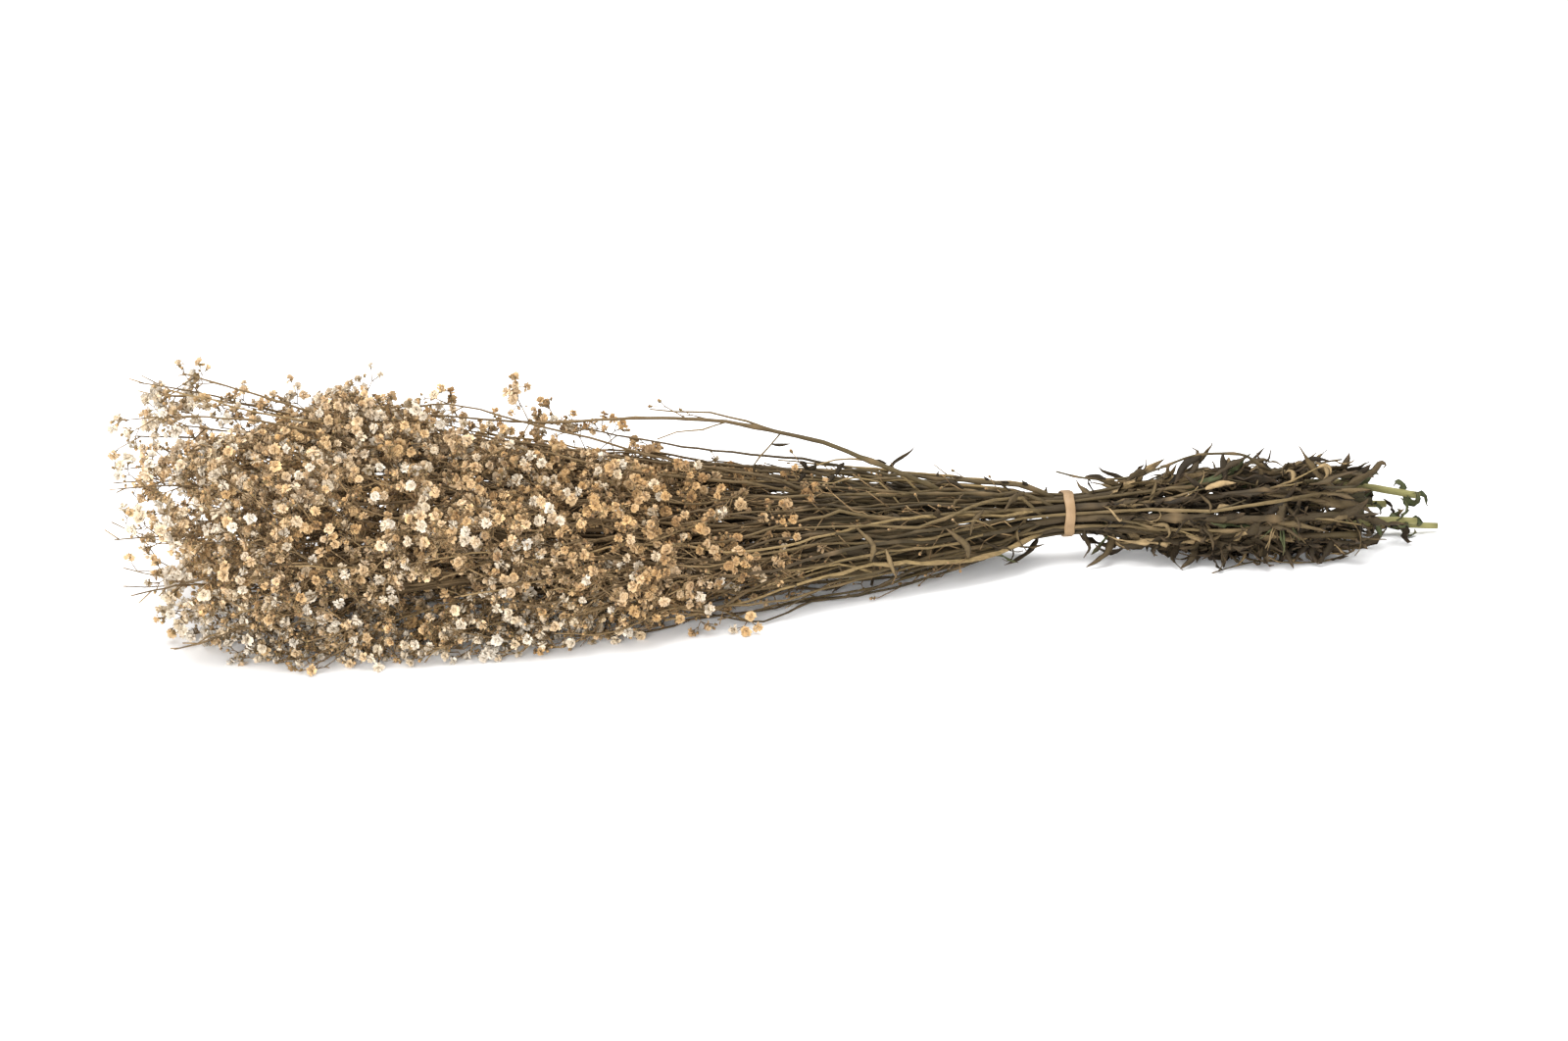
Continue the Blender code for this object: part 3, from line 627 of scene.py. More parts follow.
def grow_leaves(room, stem):
    """Dry leaves at the joints of the lower stem, turned out of the bunch."""
    index = stem["index"]
    dice = random.Random(SEED * 300 + index)
    for _ in range(LEAF_TRIES):
        if len(stem["leaves"]) == LEAVES:
            return
        x = dice.uniform(0.0, CUT_X[index] - 0.012)
        if abs(x - BAND_X) < 0.012:
            continue
        joint = min(stem["points"], key=lambda p: abs(p.x - x))
        root = joint.lerp(point_on(stem, x), 0.3)
        out = Vector((0, root.y, root.z - BAND_CENTRE_Z))
        out = out.normalized() + Vector(chances(dice, 0.4))
        along = Vector((dice.choice((-1, -1, 1)) * dice.uniform(1.0, 2.2), 0, 0))
        away = (out + along).normalized()
        droop = Vector(chances(dice, 0.35)) - 0.35 * out
        length = dice.uniform(*LEAF_LENGTHS)
        width = dice.uniform(*LEAF_HALF_WIDTHS)
        line = leaf_line(root, away, droop, length, 4)
        balls = balls_along(line, [0.5 * width, width, width, 0.8 * width, 0.0006])
        if min(p.z for p in line[1:]) < LEAF_CLEARANCE or not room.free(balls, index):
            continue
        room.take(balls, index)
        stem["leaves"].append({"line": line, "width": width, "side": away.cross(out).normalized()})


def grow_bunch():
    """Every stem with its branches, flowers and leaves, as points and sizes."""
    stems = [main_stem(index) for index in range(OUTER_STEMS + INNER_STEMS)]
    room = Room()
    for stem in stems:
        room.take(balls_along(stem["points"], stem["radii"]), stem["index"])
    for k in range(BAND_BALLS):
        angle = 2 * math.pi * k / BAND_BALLS
        reach = BAND_HALF + GAP + BAND_THICKNESS
        ring = (BAND_X, reach * math.cos(angle), BAND_CENTRE_Z + reach * math.sin(angle), BAND_WIDTH / 2)
        room.take(np.array([ring]), -1)
    grow_set_branches(room, stems)
    for order in range(FRONT_BRANCHES):
        for stem in stems:
            if order < branch_count(stem["index"]):
                grow_branch(room, stem, order)
    for stem in stems:
        leader = {"points": stem["points"][-3:]}
        grow_flowers(room, stem, leader, 99, FLOWERS_ON_BRANCH + 1)
    for order in range(max(len(stem["branches"]) for stem in stems)):
        for stem in stems:
            if order < len(stem["branches"]):
                grow_flowers(room, stem, stem["branches"][order], order, FLOWERS_ON_BRANCH)
    for stem in stems:
        grow_leaves(room, stem)
    return stems


def grow_set_branches(room, stems):
    """The branches that have their own places: the arch over the bunch, and the sprays."""
    carrier = stems[ARCH_STEM]
    root = point_on(carrier, ARCH_ROOT_X)
    arch = [root] + [Vector((x, ARCH_Y, z)) for x, z in ARCH]
    add_branch(room, carrier, arch, 1.35 * BRANCH_RADIUS)
    for index, root_x, line in SPRAYS:
        root = point_on(stems[index], root_x)
        add_branch(room, stems[index], [root] + [Vector(p) for p in line])


def band_reach(stems, angle):
    """How far from its middle the band lies in this direction, drawn tight round the outer stems."""
    reach = 0.0
    for stem in stems[:OUTER_STEMS]:
        at = point_on(stem, BAND_X)
        reach = max(
            reach,
            at.y * math.cos(angle)
            + (at.z - BAND_CENTRE_Z) * math.sin(angle)
            + stem_radius(stem["index"], BAND_X),
        )
    return reach + GAP


# Lines and frames


def smooth_line(points, step):
    """A smooth line through the points, as an array, in steps of about this length."""
    p = np.array([tuple(q) for q in points], float)
    if len(p) == 2:
        p = np.array([p[0], (p[0] + p[1]) / 2, p[1]])
    run = run_along(p)
    slopes = np.gradient(p, run, axis=0)
    found = []
    for k in range(len(p) - 1):
        span = run[k + 1] - run[k]
        count = max(1, math.ceil(span / step))
        t = (np.arange(count) / count)[:, None]
        found.append(eased(t, span, p[k], p[k + 1], slopes[k], slopes[k + 1]))
    return np.vstack(found + [p[-1:]])


def bent_line(points, step, wobble, dice):
    """A straight-jointed line: it bends at its points, bows a little between them and strays by wobble."""
    smooth = smooth_line(points, step)
    p = np.array([tuple(q) for q in points], float)
    found = []
    k = 0
    for a, b in zip(p, p[1:]):
        count = max(1, math.ceil(np.linalg.norm(b - a) / step)) if len(p) > 2 else 0
        for j in range(count):
            found.append(0.45 * smooth[k + j] + 0.55 * (a + (b - a) * j / count))
        k += count
    if not found:
        return smooth
    line = np.array(found + [p[-1]])
    stray = np.array([chances(dice, wobble) for _ in range(len(line))])
    stray[0] = stray[-1] = 0
    return line + stray


def run_along(line):
    return np.concatenate([[0.0], np.cumsum(np.linalg.norm(np.diff(line, axis=0), axis=1))])


def unit(v):
    return v / max(np.linalg.norm(v), 1e-12)


def frames(line, side=None):
    """Directions ahead, across and up at each point of a line, turned as little as it allows."""
    ahead = np.gradient(line, axis=0)
    ahead /= np.maximum(np.linalg.norm(ahead, axis=1), 1e-12)[:, None]
    first = np.array(side if side is not None else (0.0, 0.0, 1.0), float)
    first -= first @ ahead[0] * ahead[0]
    if np.linalg.norm(first) < 1e-3:
        first = np.cross(ahead[0], (0.0, 1.0, 0.0))
    across = [unit(first)]
    for direction in ahead[1:]:
        last = across[-1]
        across.append(unit(last - last @ direction * direction))
    across = np.array(across)
    return ahead, across, np.cross(ahead, across)


# A piece's mesh, gathered as arrays


class Gathered:
    """Vertices, faces, a flat map and what the materials read, until the piece is made."""

    def __init__(self):
        self.verts, self.loops, self.totals, self.maps = [], [], [], []
        self.marks = {"tone": [], "part": [], "mark": []}
        self.sizes, self.island_loops = [], []
        self.count = 0

    def add(self, verts, loops, totals, maps, size, tone, part, mark):
        """One or more closed forms. Size is the width and height that each one's map takes, in metres."""
        n = len(verts)
        self.verts.append(verts)
        self.loops.append(np.asarray(loops, np.int64) + self.count)
        self.totals.append(np.asarray(totals, np.int64))
        self.maps.append(maps)
        for name, value in (("tone", tone), ("part", part), ("mark", mark)):
            self.marks[name].append(np.broadcast_to(np.asarray(value, float), (n,)))
        self.sizes.append(np.atleast_2d(size))
        forms = 1 if np.ndim(size) == 1 else len(size)
        self.island_loops.append(np.array([len(loops) // forms] * forms))
        self.count += n


def laid_out(sizes):
    """Where each form's own map lies in the square, in rows, and how much smaller it is drawn."""
    order = np.argsort(-sizes[:, 1], kind="stable")
    margin = 0.0015
    scale = math.sqrt(0.9 / float((sizes[:, 0] * sizes[:, 1]).sum()))
    corners = np.zeros_like(sizes)
    while True:
        x = y = row = 0.0
        for k in order:
            wide, high = sizes[k] * scale + margin
            if x + wide > 1:
                x, y, row = 0.0, y + row, 0.0
            corners[k] = (x, y)
            x += wide
            row = max(row, high)
        if y + row <= 1 and (sizes[:, 0] * scale).max() < 1:
            return corners, scale
        scale *= 0.96


def make_piece(name, gathered, material, node):
    """The piece, in the row frame, riding on the bunch's body in place of its node."""
    verts = np.vstack(gathered.verts) + SHIFT
    verts[:, 2] = np.maximum(verts[:, 2], LOWEST)
    loops = np.concatenate(gathered.loops)
    totals = np.concatenate(gathered.totals)
    mesh = bpy.data.meshes.new(name)
    mesh.vertices.add(len(verts))
    mesh.vertices.foreach_set("co", verts.astype(np.float32).ravel())
    mesh.loops.add(len(loops))
    mesh.loops.foreach_set("vertex_index", loops.astype(np.int32))
    mesh.polygons.add(len(totals))
    mesh.polygons.foreach_set("loop_start", (np.cumsum(totals) - totals).astype(np.int32))
    corners, scale = laid_out(np.vstack(gathered.sizes))
    repeats = np.concatenate(gathered.island_loops)
    maps = np.vstack(gathered.maps) * scale + np.repeat(corners, repeats, axis=0)
    layer = mesh.uv_layers.new(name="OFBake")
    layer.data.foreach_set("uv", maps.astype(np.float32).ravel())
    for key, values in gathered.marks.items():
        attribute = mesh.attributes.new(key, "FLOAT", "POINT")
        attribute.data.foreach_set("value", np.concatenate(values).astype(np.float32))
    mesh.update(calc_edges=True)
    mesh.validate()
    mesh.shade_smooth()
    mesh.materials.append(material)
    made = bpy.data.objects.new(name, mesh)
    bpy.context.scene.collection.objects.link(made)
    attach(made, "root")
    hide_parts(node)
    return made


def ring_faces(rings, sides):
    """Loops and totals of the quads between rings, and the place of each corner along and around."""
    k = np.repeat(np.arange(rings - 1), sides)
    j = np.tile(np.arange(sides), rings - 1)
    after = (j + 1) % sides
    loops = np.stack([k * sides + j, k * sides + after, (k + 1) * sides + after, (k + 1) * sides + j], 1)
    around = np.stack([j, j + 1, j + 1, j], 1)
    along = np.stack([k, k, k + 1, k + 1], 1)
    return loops.ravel(), np.full(len(k), 4), along.ravel(), around.ravel()


def add_rings(gathered, rings, ends, run, wide, tone, part, mark):
    """A closed form of rings of points, with a middle at each end. Its map is run high and wide across."""
    count, sides = rings.shape[:2]
    loops, totals, along, around = ring_faces(count, sides)
    maps = np.stack([around / sides * wide, run[along]], 1)
    first, last, high = count * sides, (count - 1) * sides, run[-1]
    caps, cap_maps = [], []
    for j in range(sides):
        k = (j + 1) % sides
        caps += [k, j, first, last + j, last + k, first + 1]
        u, w = j / sides * wide, (j + 1) / sides * wide
        cap_maps += [(w, 0), (u, 0), ((u + w) / 2, 0), (u, high), (w, high), ((u + w) / 2, high)]
    gathered.add(
        np.vstack([rings.reshape(-1, 3), ends]),
        np.append(loops, caps),
        np.append(totals, [3] * (2 * sides)),
        np.vstack([maps, np.array(cap_maps)]),
        (wide, high),
        tone,
        part,
        mark,
    )


def add_tube(gathered, line, radii, sides, tone, green=0.0, knots=None, cut=False):
    """A closed tube along the line. A cut end shows its paler pith."""
    radii = np.broadcast_to(np.asarray(radii, float), (len(line),)).copy()
    green = np.broadcast_to(np.asarray(green, float), (len(line),))
    # Painted shade: the tube is drawn darker the deeper it lies in the bunch.
    tone = tone * painted_light_factor(line)
    run = run_along(line)
    joint = np.zeros(len(line))
    if knots is not None:
        for at in knots:
            near = np.exp(-(((run - at) / KNOT_LENGTH) ** 2))
            joint = np.maximum(joint, near)
        radii *= 1 + KNOT_SWELL * joint
    ahead, across, up = frames(line)
    angle = 2 * np.pi * np.arange(sides) / sides
    ring = np.cos(angle)[None, :, None] * across[:, None, :] + np.sin(angle)[None, :, None] * up[:, None, :]
    middle = line[0] + ahead[0] * (0.3 * radii[0] if cut else -0.2 * radii[0])
    add_rings(
        gathered,
        line[:, None, :] + radii[:, None, None] * ring,
        np.array([middle, line[-1] + ahead[-1] * 0.3 * radii[-1]]),
        run * LENGTHWISE,
        2 * np.pi * float(radii.mean()),
        np.append(np.repeat(tone, sides), [tone[0], tone[-1]]),
        np.append(np.repeat(green, sides), [green[0], green[-1]]),
        np.append(np.repeat(joint, sides), [1.6 if cut else 0.0, 0.0]),
    )


def add_twigs(gathered, twigs):
    """Short thin twigs, each as (start, end, first radius, last radius, tone), as closed prisms."""
    if not twigs:
        return
    start, end, first, last, tone = (np.array(column) for column in zip(*twigs))
    radii = np.stack([first, last], 1)
    # Painted shade: twigs are drawn darker the deeper they lie in the bunch.
    tone = tone * painted_light_factor(start, 0.25)
    ahead = end - start
    length = np.maximum(np.linalg.norm(ahead, axis=1), 1e-6)
    ahead /= length[:, None]
    across = np.cross(ahead, (0.31, 0.22, 0.92))
    across /= np.linalg.norm(across, axis=1)[:, None]
    up = np.cross(ahead, across)
    verts = []
    for which, at in enumerate((start, end)):
        for j in range(3):
            angle = 2 * np.pi * j / 3
            verts.append(at + radii[:, which, None] * (math.cos(angle) * across + math.sin(angle) * up))
    n = len(twigs)
    verts = np.stack(verts, 1).reshape(-1, 3)
    face = np.array([0, 1, 4, 3, 1, 2, 5, 4, 2, 0, 3, 5, 2, 1, 0, 3, 4, 5])
    totals = np.tile([4, 4, 4, 3, 3], n)
    loops = (np.arange(n)[:, None] * 6 + face).ravel()
    wide = 2 * np.pi * radii.mean(1)
    high = length * LENGTHWISE
    u = np.array([0, 1, 1, 0, 1, 2, 2, 1, 2, 3, 3, 2, 2, 1, 0, 0, 1, 2]) / 3
    v = np.array([0, 0, 1, 1, 0, 0, 1, 1, 0, 0, 1, 1, 0, 0, 0, 1, 1, 1])
    maps = np.stack([wide[:, None] * u, high[:, None] * v], 2).reshape(-1, 2)
    gathered.add(verts, loops, totals, maps, np.stack([wide, high], 1), np.repeat(tone, 6), -1.0, 0.0)


def twisted(dice, foot, tip):
    """How far a blade is turned at its foot and at its tip, either way."""
    return dice.uniform(-foot, foot), dice.uniform(-tip, tip)


def add_blade(gathered, line, width, side, tone, green, twist, fold, ruffle, dice):
    """A dry leaf: a closed blade along its midrib, folded, twisted and ruffled along its edges."""
    n = len(line)
    widths = blade_widths(n, width)
    _, across, up = frames(line, side)
    t = np.linspace(0, 1, n)
    angle = twist[0] + (twist[1] - twist[0]) * t + 0.25 * np.sin(5 * t + twist[0] * 7)
    side_way = np.cos(angle)[:, None] * across + np.sin(angle)[:, None] * up
    upward = -np.sin(angle)[:, None] * across + np.cos(angle)[:, None] * up
    first, second = dice.uniform(0, FULL_TURN), dice.uniform(0, FULL_TURN)
    sides = len(BLADE_PLACES)
    verts = np.zeros((n, sides, 3))
    for j, (place_across, top) in enumerate(zip(BLADE_PLACES, BLADE_TOPS)):
        wave = np.sin(t * dice.uniform(12, 18) + (first if place_across < 0 else second))
        lift = abs(place_across) * fold + ruffle * place_across**2 * (wave if top == 0 else 0.5 * wave)
        verts[:, j] = (
            line
            + (place_across * widths * math.sqrt(max(0.1, 1 - fold * fold)))[:, None] * side_way
            + (widths * lift + top * BLADE_THICKNESS)[:, None] * upward
        )
    add_rings(
        gathered,
        verts,
        line[[0, -1]],
        run_along(line),
        4 * float(widths.max()),
        tone + (2.0 if green else 0.0),
        np.append(np.repeat(t, sides), [0, 1]),
        np.append(np.tile(np.abs(BLADE_PLACES), n), [0, 0]),
    )


# Florets


# Each layer of petals: how many, how far they rise from the level, length, half width, height of the foot
FULL_LAYERS = ((6, -0.1, 1.0, 0.5, 0.0), (5, 0.55, 1.0, 0.48, 0.06), (4, 1.2, 0.98, 0.46, 0.1))
PLAIN_LAYERS = ((5, 0.05, 1.0, 0.56, 0.0), (4, 1.0, 1.0, 0.56, 0.08))


def floret_shape(dice, layers, closed, crumple):
    """A small double floret of ragged petals on its calyx, one unit in radius."""
    verts, faces, maps, part, mark = [], [], [], [], []
    centres, spaces = ((0.25, 0.5), (0.75, 0.74), (0.66, 0.24)), (0.24, 0.24, 0.15)
    for layer, (count, rise, length, width, foot) in enumerate(layers):
        start = dice.uniform(0, FULL_TURN)
        for k in range(count):
            azimuth = start + 2 * math.pi * (k + dice.uniform(-0.2, 0.2)) / count
            out = np.array((math.cos(azimuth), math.sin(azimuth), 0))
            side = np.array((-math.sin(azimuth), math.cos(azimuth), 0))
            tilt = rise + closed * (0.9 - 0.25 * layer) + dice.gauss(0, 0.15)
            long, half = length * dice.uniform(0.85, 1.08), width * dice.uniform(0.8, 1.15)
            inner = layer == len(layers) - 1
            bend = dice.uniform(0.1, 0.9) if inner else dice.uniform(-0.5, 0.35)
            shade, a = dice.random(), len(verts)
            notch = dice.choice((0.74, 0.84, 1.1))
            tips = ((0.12, 0.0), (0.62, -1.0), (0.62, 1.0), (1.0, -0.72), (notch, 0.0), (1.0, 0.72))
            for share, s in tips:
                angle = tilt + bend * share
                base = out * (0.06 + long * share * math.cos(angle))
                base = base + np.array((0, 0, foot + long * share * math.sin(angle)))
                stray = np.array(chances(dice, crumple))
                verts.append(base + side * (s * half) + stray)
                part.append(share)
                mark.append(shade)
                turn = azimuth + s * half / max(share, 0.4)
                reach = spaces[layer] * min(share, 1.0)
                u, v = centres[layer]
                maps.append((u + reach * math.cos(turn), v + reach * math.sin(turn)))
            faces += [(a, a + 1, a + 2), (a + 1, a + 3, a + 4), (a + 1, a + 4, a + 2), (a + 2, a + 4, a + 5)]
    first = len(verts)
    verts.append(np.array((0, 0, -0.95)))
    maps.append((0.92, 0.02))
    for k in range(4):
        azimuth = 2 * math.pi * k / 4
        verts.append(np.array((0.36 * math.cos(azimuth), 0.36 * math.sin(azimuth), -0.02)))
        maps.append((0.96, 0.04 + 0.1 * k))
        faces.append((first, first + 1 + (k + 1) % 4, first + 1 + k))
    part += [-1.0] + [-0.5] * 4
    mark += [0.5] * 5
    faces = np.array(faces)
    return {
        "verts": np.array(verts),
        "faces": faces,
        "maps": np.array(maps)[faces.ravel()],
        "part": np.array(part),
        "mark": np.array(mark),
    }


def bud_shape():
    """A closed bud: a small egg with four ridges, one unit in radius."""
    verts, part = [(0, 0, -1.25)], [-1.0]
    for height, radius, share in ((-0.45, 0.85, -0.5), (0.65, 0.85, 0.3)):
        for k in range(4):
            azimuth = 2 * math.pi * k / 4 + height
            verts.append((radius * math.cos(azimuth), radius * math.sin(azimuth), height))
            part.append(share)
    verts.append((0, 0, 1.4))
    part.append(0.9)
    faces = []
    for k in range(4):
        j = (k + 1) % 4
        faces += [(0, 1 + j, 1 + k), (1 + k, 1 + j, 5 + j), (1 + k, 5 + j, 5 + k), (5 + k, 5 + j, 9)]
    verts, faces = np.array(verts, float), np.array(faces)
    turn = np.arctan2(verts[:, 1], verts[:, 0])
    reach = 0.24 * (verts[:, 2] + 1.4) / 2.9
    flat = np.stack([0.5 + 2 * reach * np.cos(turn), 0.5 + 2 * reach * np.sin(turn)], 1)
    return {
        "verts": verts,
        "faces": faces,
        "maps": flat[faces.ravel()],
        "part": np.array(part),
        "mark": np.full(len(verts), 0.4),
    }


def add_florets(gathered, florets, shapes):
    """Every floret of a stem, each as (middle, ahead, radius, spin, shape, tone)."""
    for which, shape in enumerate(shapes):
        here = [f for f in florets if f[4] == which]
        if not here:
            continue
        middle, ahead, size, spin, _, tone = (np.array(column) for column in zip(*here))
        ahead /= np.linalg.norm(ahead, axis=1)[:, None]
        first = np.cross(ahead, (0.36, 0.48, 0.8))
        first /= np.linalg.norm(first, axis=1)[:, None]
        second = np.cross(ahead, first)
        across = np.cos(spin)[:, None] * first + np.sin(spin)[:, None] * second
        up = np.cross(ahead, across)
        local = shape["verts"]
        verts = middle[:, None, :] + size[:, None, None] * (
            local[None, :, 0, None] * across[:, None, :]
            + local[None, :, 1, None] * up[:, None, :]
            + local[None, :, 2, None] * ahead[:, None, :]
        )
        n, m = len(here), len(local)
        loops = (np.arange(n)[:, None] * m + shape["faces"].ravel()).ravel()
        gathered.add(
            verts.reshape(-1, 3),
            loops,
            np.full(n * len(shape["faces"]), 3),
            np.tile(shape["maps"] * FLORET_MAP, (n, 1)),
            np.full((n, 2), FLORET_MAP),
            np.repeat(tone, m),
            np.tile(shape["part"], n),
            np.tile(shape["mark"], n),
        )


# Growing the twigs and tufts


OPEN_SHAPES, CLOSED_SHAPES, SHRUNK_SHAPES, PLAIN_SHAPES = (0, 1, 2, 3), (4, 5, 6), (7, 8), (9, 10, 11)
BUD = 12


def floret_shapes():
    dice = random.Random(SEED * 11)
    shapes = [floret_shape(dice, FULL_LAYERS, 0.0, 0.06) for _ in OPEN_SHAPES]
    shapes += [floret_shape(dice, FULL_LAYERS, 0.35, 0.07) for _ in CLOSED_SHAPES]
    shapes += [floret_shape(dice, FULL_LAYERS, 0.7, 0.1) for _ in SHRUNK_SHAPES]
    shapes += [floret_shape(dice, PLAIN_LAYERS, 0.1, 0.07) for _ in PLAIN_SHAPES]
    return shapes + [bud_shape()]


def cell_of(at):
    """The cell of a coarse grid that holds a place, so that only what is near has to be compared."""
    return tuple(int(math.floor(c / CELL)) for c in at)


class Growth:
    """What is added to one bunch: the lines that twigs can leave, the twigs and the florets, by stem."""

    def __init__(self, stems):
        self.points = np.empty((0, 3))
        self.ahead = np.empty((0, 3))
        self.radii = np.empty(0)
        self.owners = np.empty(0, int)
        self.twigs = {stem["index"]: [] for stem in stems}
        self.florets = {stem["index"]: [] for stem in stems}
        self.cells = {}

    def take_line(self, line, radii, owner):
        """The line can carry twigs from now on. It runs from its root to its tip."""
        ahead = np.gradient(line, axis=0)
        ahead /= np.maximum(np.linalg.norm(ahead, axis=1), 1e-9)[:, None]
        self.points = np.vstack([self.points, line])
        self.ahead = np.vstack([self.ahead, ahead])
        self.radii = np.append(self.radii, radii)
        self.owners = np.append(self.owners, np.full(len(line), owner))

    def between(self, first, last):
        """Which places on the lines have their x between these two."""
        return np.flatnonzero((self.points[:, 0] > first) & (self.points[:, 0] < last))

    def at(self, place_index):
        """The point, the direction and the stem of one place on a line."""
        return self.points[place_index], self.ahead[place_index], int(self.owners[place_index])

    def carrier(self, target):
        """The place on a line from which a twig reaches the target at the smallest angle and length."""
        way = target - self.points
        apart = np.linalg.norm(way, axis=1)
        straight = (way * self.ahead).sum(1) / np.maximum(apart, 1e-9)
        cost = apart * (1 + ANGLE_COST * (1 - straight))
        cost[(apart < LEAST_REACH) | (straight < LEAST_STRAIGHT)] = OUT_OF_QUESTION
        best = int(cost.argmin())
        return best if cost[best] < MOST_COST else None

    def room_for(self, at, apart):
        """Whether no floret is nearer than this."""
        x, y, z = at
        a, b, c = cell_of(at)
        for i, j, k in itertools.product((-1, 0, 1), repeat=3):
            for other in self.cells.get((a + i, b + j, c + k), ()):
                if (other[0] - x) ** 2 + (other[1] - y) ** 2 + (other[2] - z) ** 2 < apart**2:
                    return False
        return True

    def bloom(self, owner, at, ahead, dice, whiteness, plain):
        """A floret or bud at the end of its stalk. False where it would sink into another."""
        bud = dice.random() < BUD_CHANCE
        if bud:
            size = dice.uniform(*BUD_RADII)
        else:
            size = dice.uniform(*FLORET_RADII) * (1 + FAR_SWELL * far_end(at))
        middle = at + ahead * (0.7 * size)
        if not bud and not self.room_for(middle, FLORET_APART):
            size = dice.uniform(*CROWDED_RADII)
            bud = True
        if bud and not self.room_for(middle, BUD_APART):
            return False
        self.cells.setdefault(cell_of(middle), []).append(tuple(middle))
        chance = dice.random()
        paler = PALER_GAIN * paler_at(middle)
        if bud:
            shape, tone = BUD, dice.uniform(*BUD_TONES) + 0.5 * max(0.0, paler)
        elif chance < WHITE_CHANCE + WHITE_GAIN * whiteness:
            shape, tone = dice.choice(OPEN_SHAPES), dice.uniform(*WHITE_TONES)
        elif chance < 1 - SHRUNK_CHANCE:
            shape, tone = dice.choice(OPEN_SHAPES + CLOSED_SHAPES), dice.uniform(*FLORET_TONES) + paler
        else:
            shape = dice.choice(CLOSED_SHAPES + SHRUNK_SHAPES)
            tone = dice.uniform(*SHRUNK_TONES) + max(0.0, paler)
            size *= 0.9
        light = float(painted_light_factor(middle, 0.0)[0])
        if (plain or light < DEEP_LIGHT) and not bud:
            shape = dice.choice(PLAIN_SHAPES)
        # Painted shade: florets deep in the bunch and down in its hollows are drawn darker.
        tone *= (0.74 + 0.26 * light) * (1 - 0.6 * hollow_at(middle))
        self.florets[owner].append((middle, ahead, size, dice.uniform(0, FULL_TURN), shape, tone))
        return True

    def cyme(self, owner, at, ahead, length, level, radius, dice, whiteness, plain, loose):
        """A tuft that forks in twos, with a floret at the middle of each fork and at each end."""
        end = at + ahead * length
        end[2] = max(end[2], FLOOR_REST)
        if not allowed(end, loose):
            return
        ahead = unit(end - at)
        # Painted shade: a twig down in a hollow is drawn darker.
        shade = 1 - 0.8 * hollow_at(end)
        self.twigs[owner].append((at, end, radius, 0.85 * radius, shade * dice.random()))
        if level == 0:
            self.bloom(owner, end, ahead, dice, whiteness, plain)
            return
        if dice.random() < MIDDLE_CHANCE:
            lean = unit(ahead + np.array(chances(dice, 0.25)))
            tip = end + lean * dice.uniform(*MIDDLE_STALKS)
            tip[2] = max(tip[2], FLOOR_REST)
            if allowed(tip, loose) and self.bloom(owner, tip, lean, dice, whiteness, plain):
                self.twigs[owner].append((end, tip, 0.8 * radius, 0.7 * radius, dice.random()))
        for _ in range(dice.choice((0, 0, 1, 1, 2))):
            lean = unit(ahead + 0.9 * np.array(chances(dice)))
            tip = end + lean * dice.uniform(*SIDE_STALKS)
            tip[2] = max(tip[2], TWIG_LOW)
            if allowed(tip, loose):
                self.twigs[owner].append((end, tip, 0.7 * radius, 0.5 * radius, dice.random()))
                if dice.random() < SIDE_BUD_CHANCE:
                    size = dice.uniform(*SIDE_BUD_RADII)
                    self.florets[owner].append((tip, lean, size, 0.0, BUD, dice.uniform(0.05, 0.5)))
        side = unit(np.cross(ahead, chances(dice)))
        for sign in (1, -1):
            if dice.random() < FORK_CHANCE:
                spread = dice.uniform(*FORK_ANGLES)
                turned = unit(ahead * math.cos(spread) + side * (sign * math.sin(spread)))
                reach = length * dice.uniform(*FORK_SHARES)
                self.cyme(owner, end, turned, reach, level - 1, 0.9 * radius, dice, whiteness, plain, loose)


def along_table(at, table):
    return float(np.interp(at, [row[0] for row in table], [row[1] for row in table]))


def allowed(at, loose=False):
    """Whether a floret there stays within the flower head, and out of its hollows. One on a loose branch may
    stand above it."""
    if (at < FLORET_LOW).any() or (at > FLORET_HIGH).any():
        return False
    x, y, z = (float(c) for c in at)
    slack = LOOSE_SLACK if loose else 0.0
    if x < along_table(z, ENDS) + 0.16 * y - slack or y < -along_table(x, FRONTS) - 0.5 * z - 3 * slack:
        return False
    if not loose and z > along_table(x, TOPS) - 0.34 * y:
        return False
    for x, y, z, radius in HOLLOWS:
        way = at - np.array((x, y, z))
        ahead = max(0.0, float(way @ np.array(OPENS_TO)))
        if np.linalg.norm(way - ahead * np.array(OPENS_TO)) < radius * (1 + 3 * ahead):
            return False
    return True


def hollow_at(at):
    """How deep a place lies in one of the hollows, from 0 outside them to 1 at the bottom of one."""
    deepest = 0.0
    for x, y, z, radius in HOLLOWS:
        way = np.asarray(at) - np.array((x, y, z))
        ahead = float(way @ np.array(OPENS_TO))
        beside = float(np.linalg.norm(way - ahead * np.array(OPENS_TO))) / radius
        deepest = max(deepest, clamped(1.2 - abs(ahead) / 0.016) * clamped(2.4 - beside))
    return deepest


def far_end(at):
    """From 0 in the midst of the flower head to 1 at its far end."""
    return clamped((FAR_END_X - at[0]) / 0.04)


def paler_at(at):
    """How much paler than the rest the florets are there: they are palest at the far end, low at the front
    and on the highest lump, and brownest next to the bare stems."""
    low = clamped((0.04 - at[2]) / 0.03) * clamped((-0.02 - at[1]) / 0.03)
    near = clamped((at[0] + 0.12) / 0.06)
    top = clamped((at[2] - 0.055) / 0.03) * clamped((-0.14 - at[0]) / 0.04)
    return 0.13 * far_end(at) + 0.15 * low + 0.06 * top - 0.15 * near


def whiteness_at(at):
    """Where the florets kept their white: most of all on the side that faces the front, in its middle."""
    near = math.exp(-(((at[0] + 0.165) / 0.075) ** 2) - ((at[2] - 0.04) / 0.05) ** 2)
    return (0.22 + 0.58 * near if at[1] < 0 else 0.22 + 0.3 * near) + 1.2 * paler_at(at)


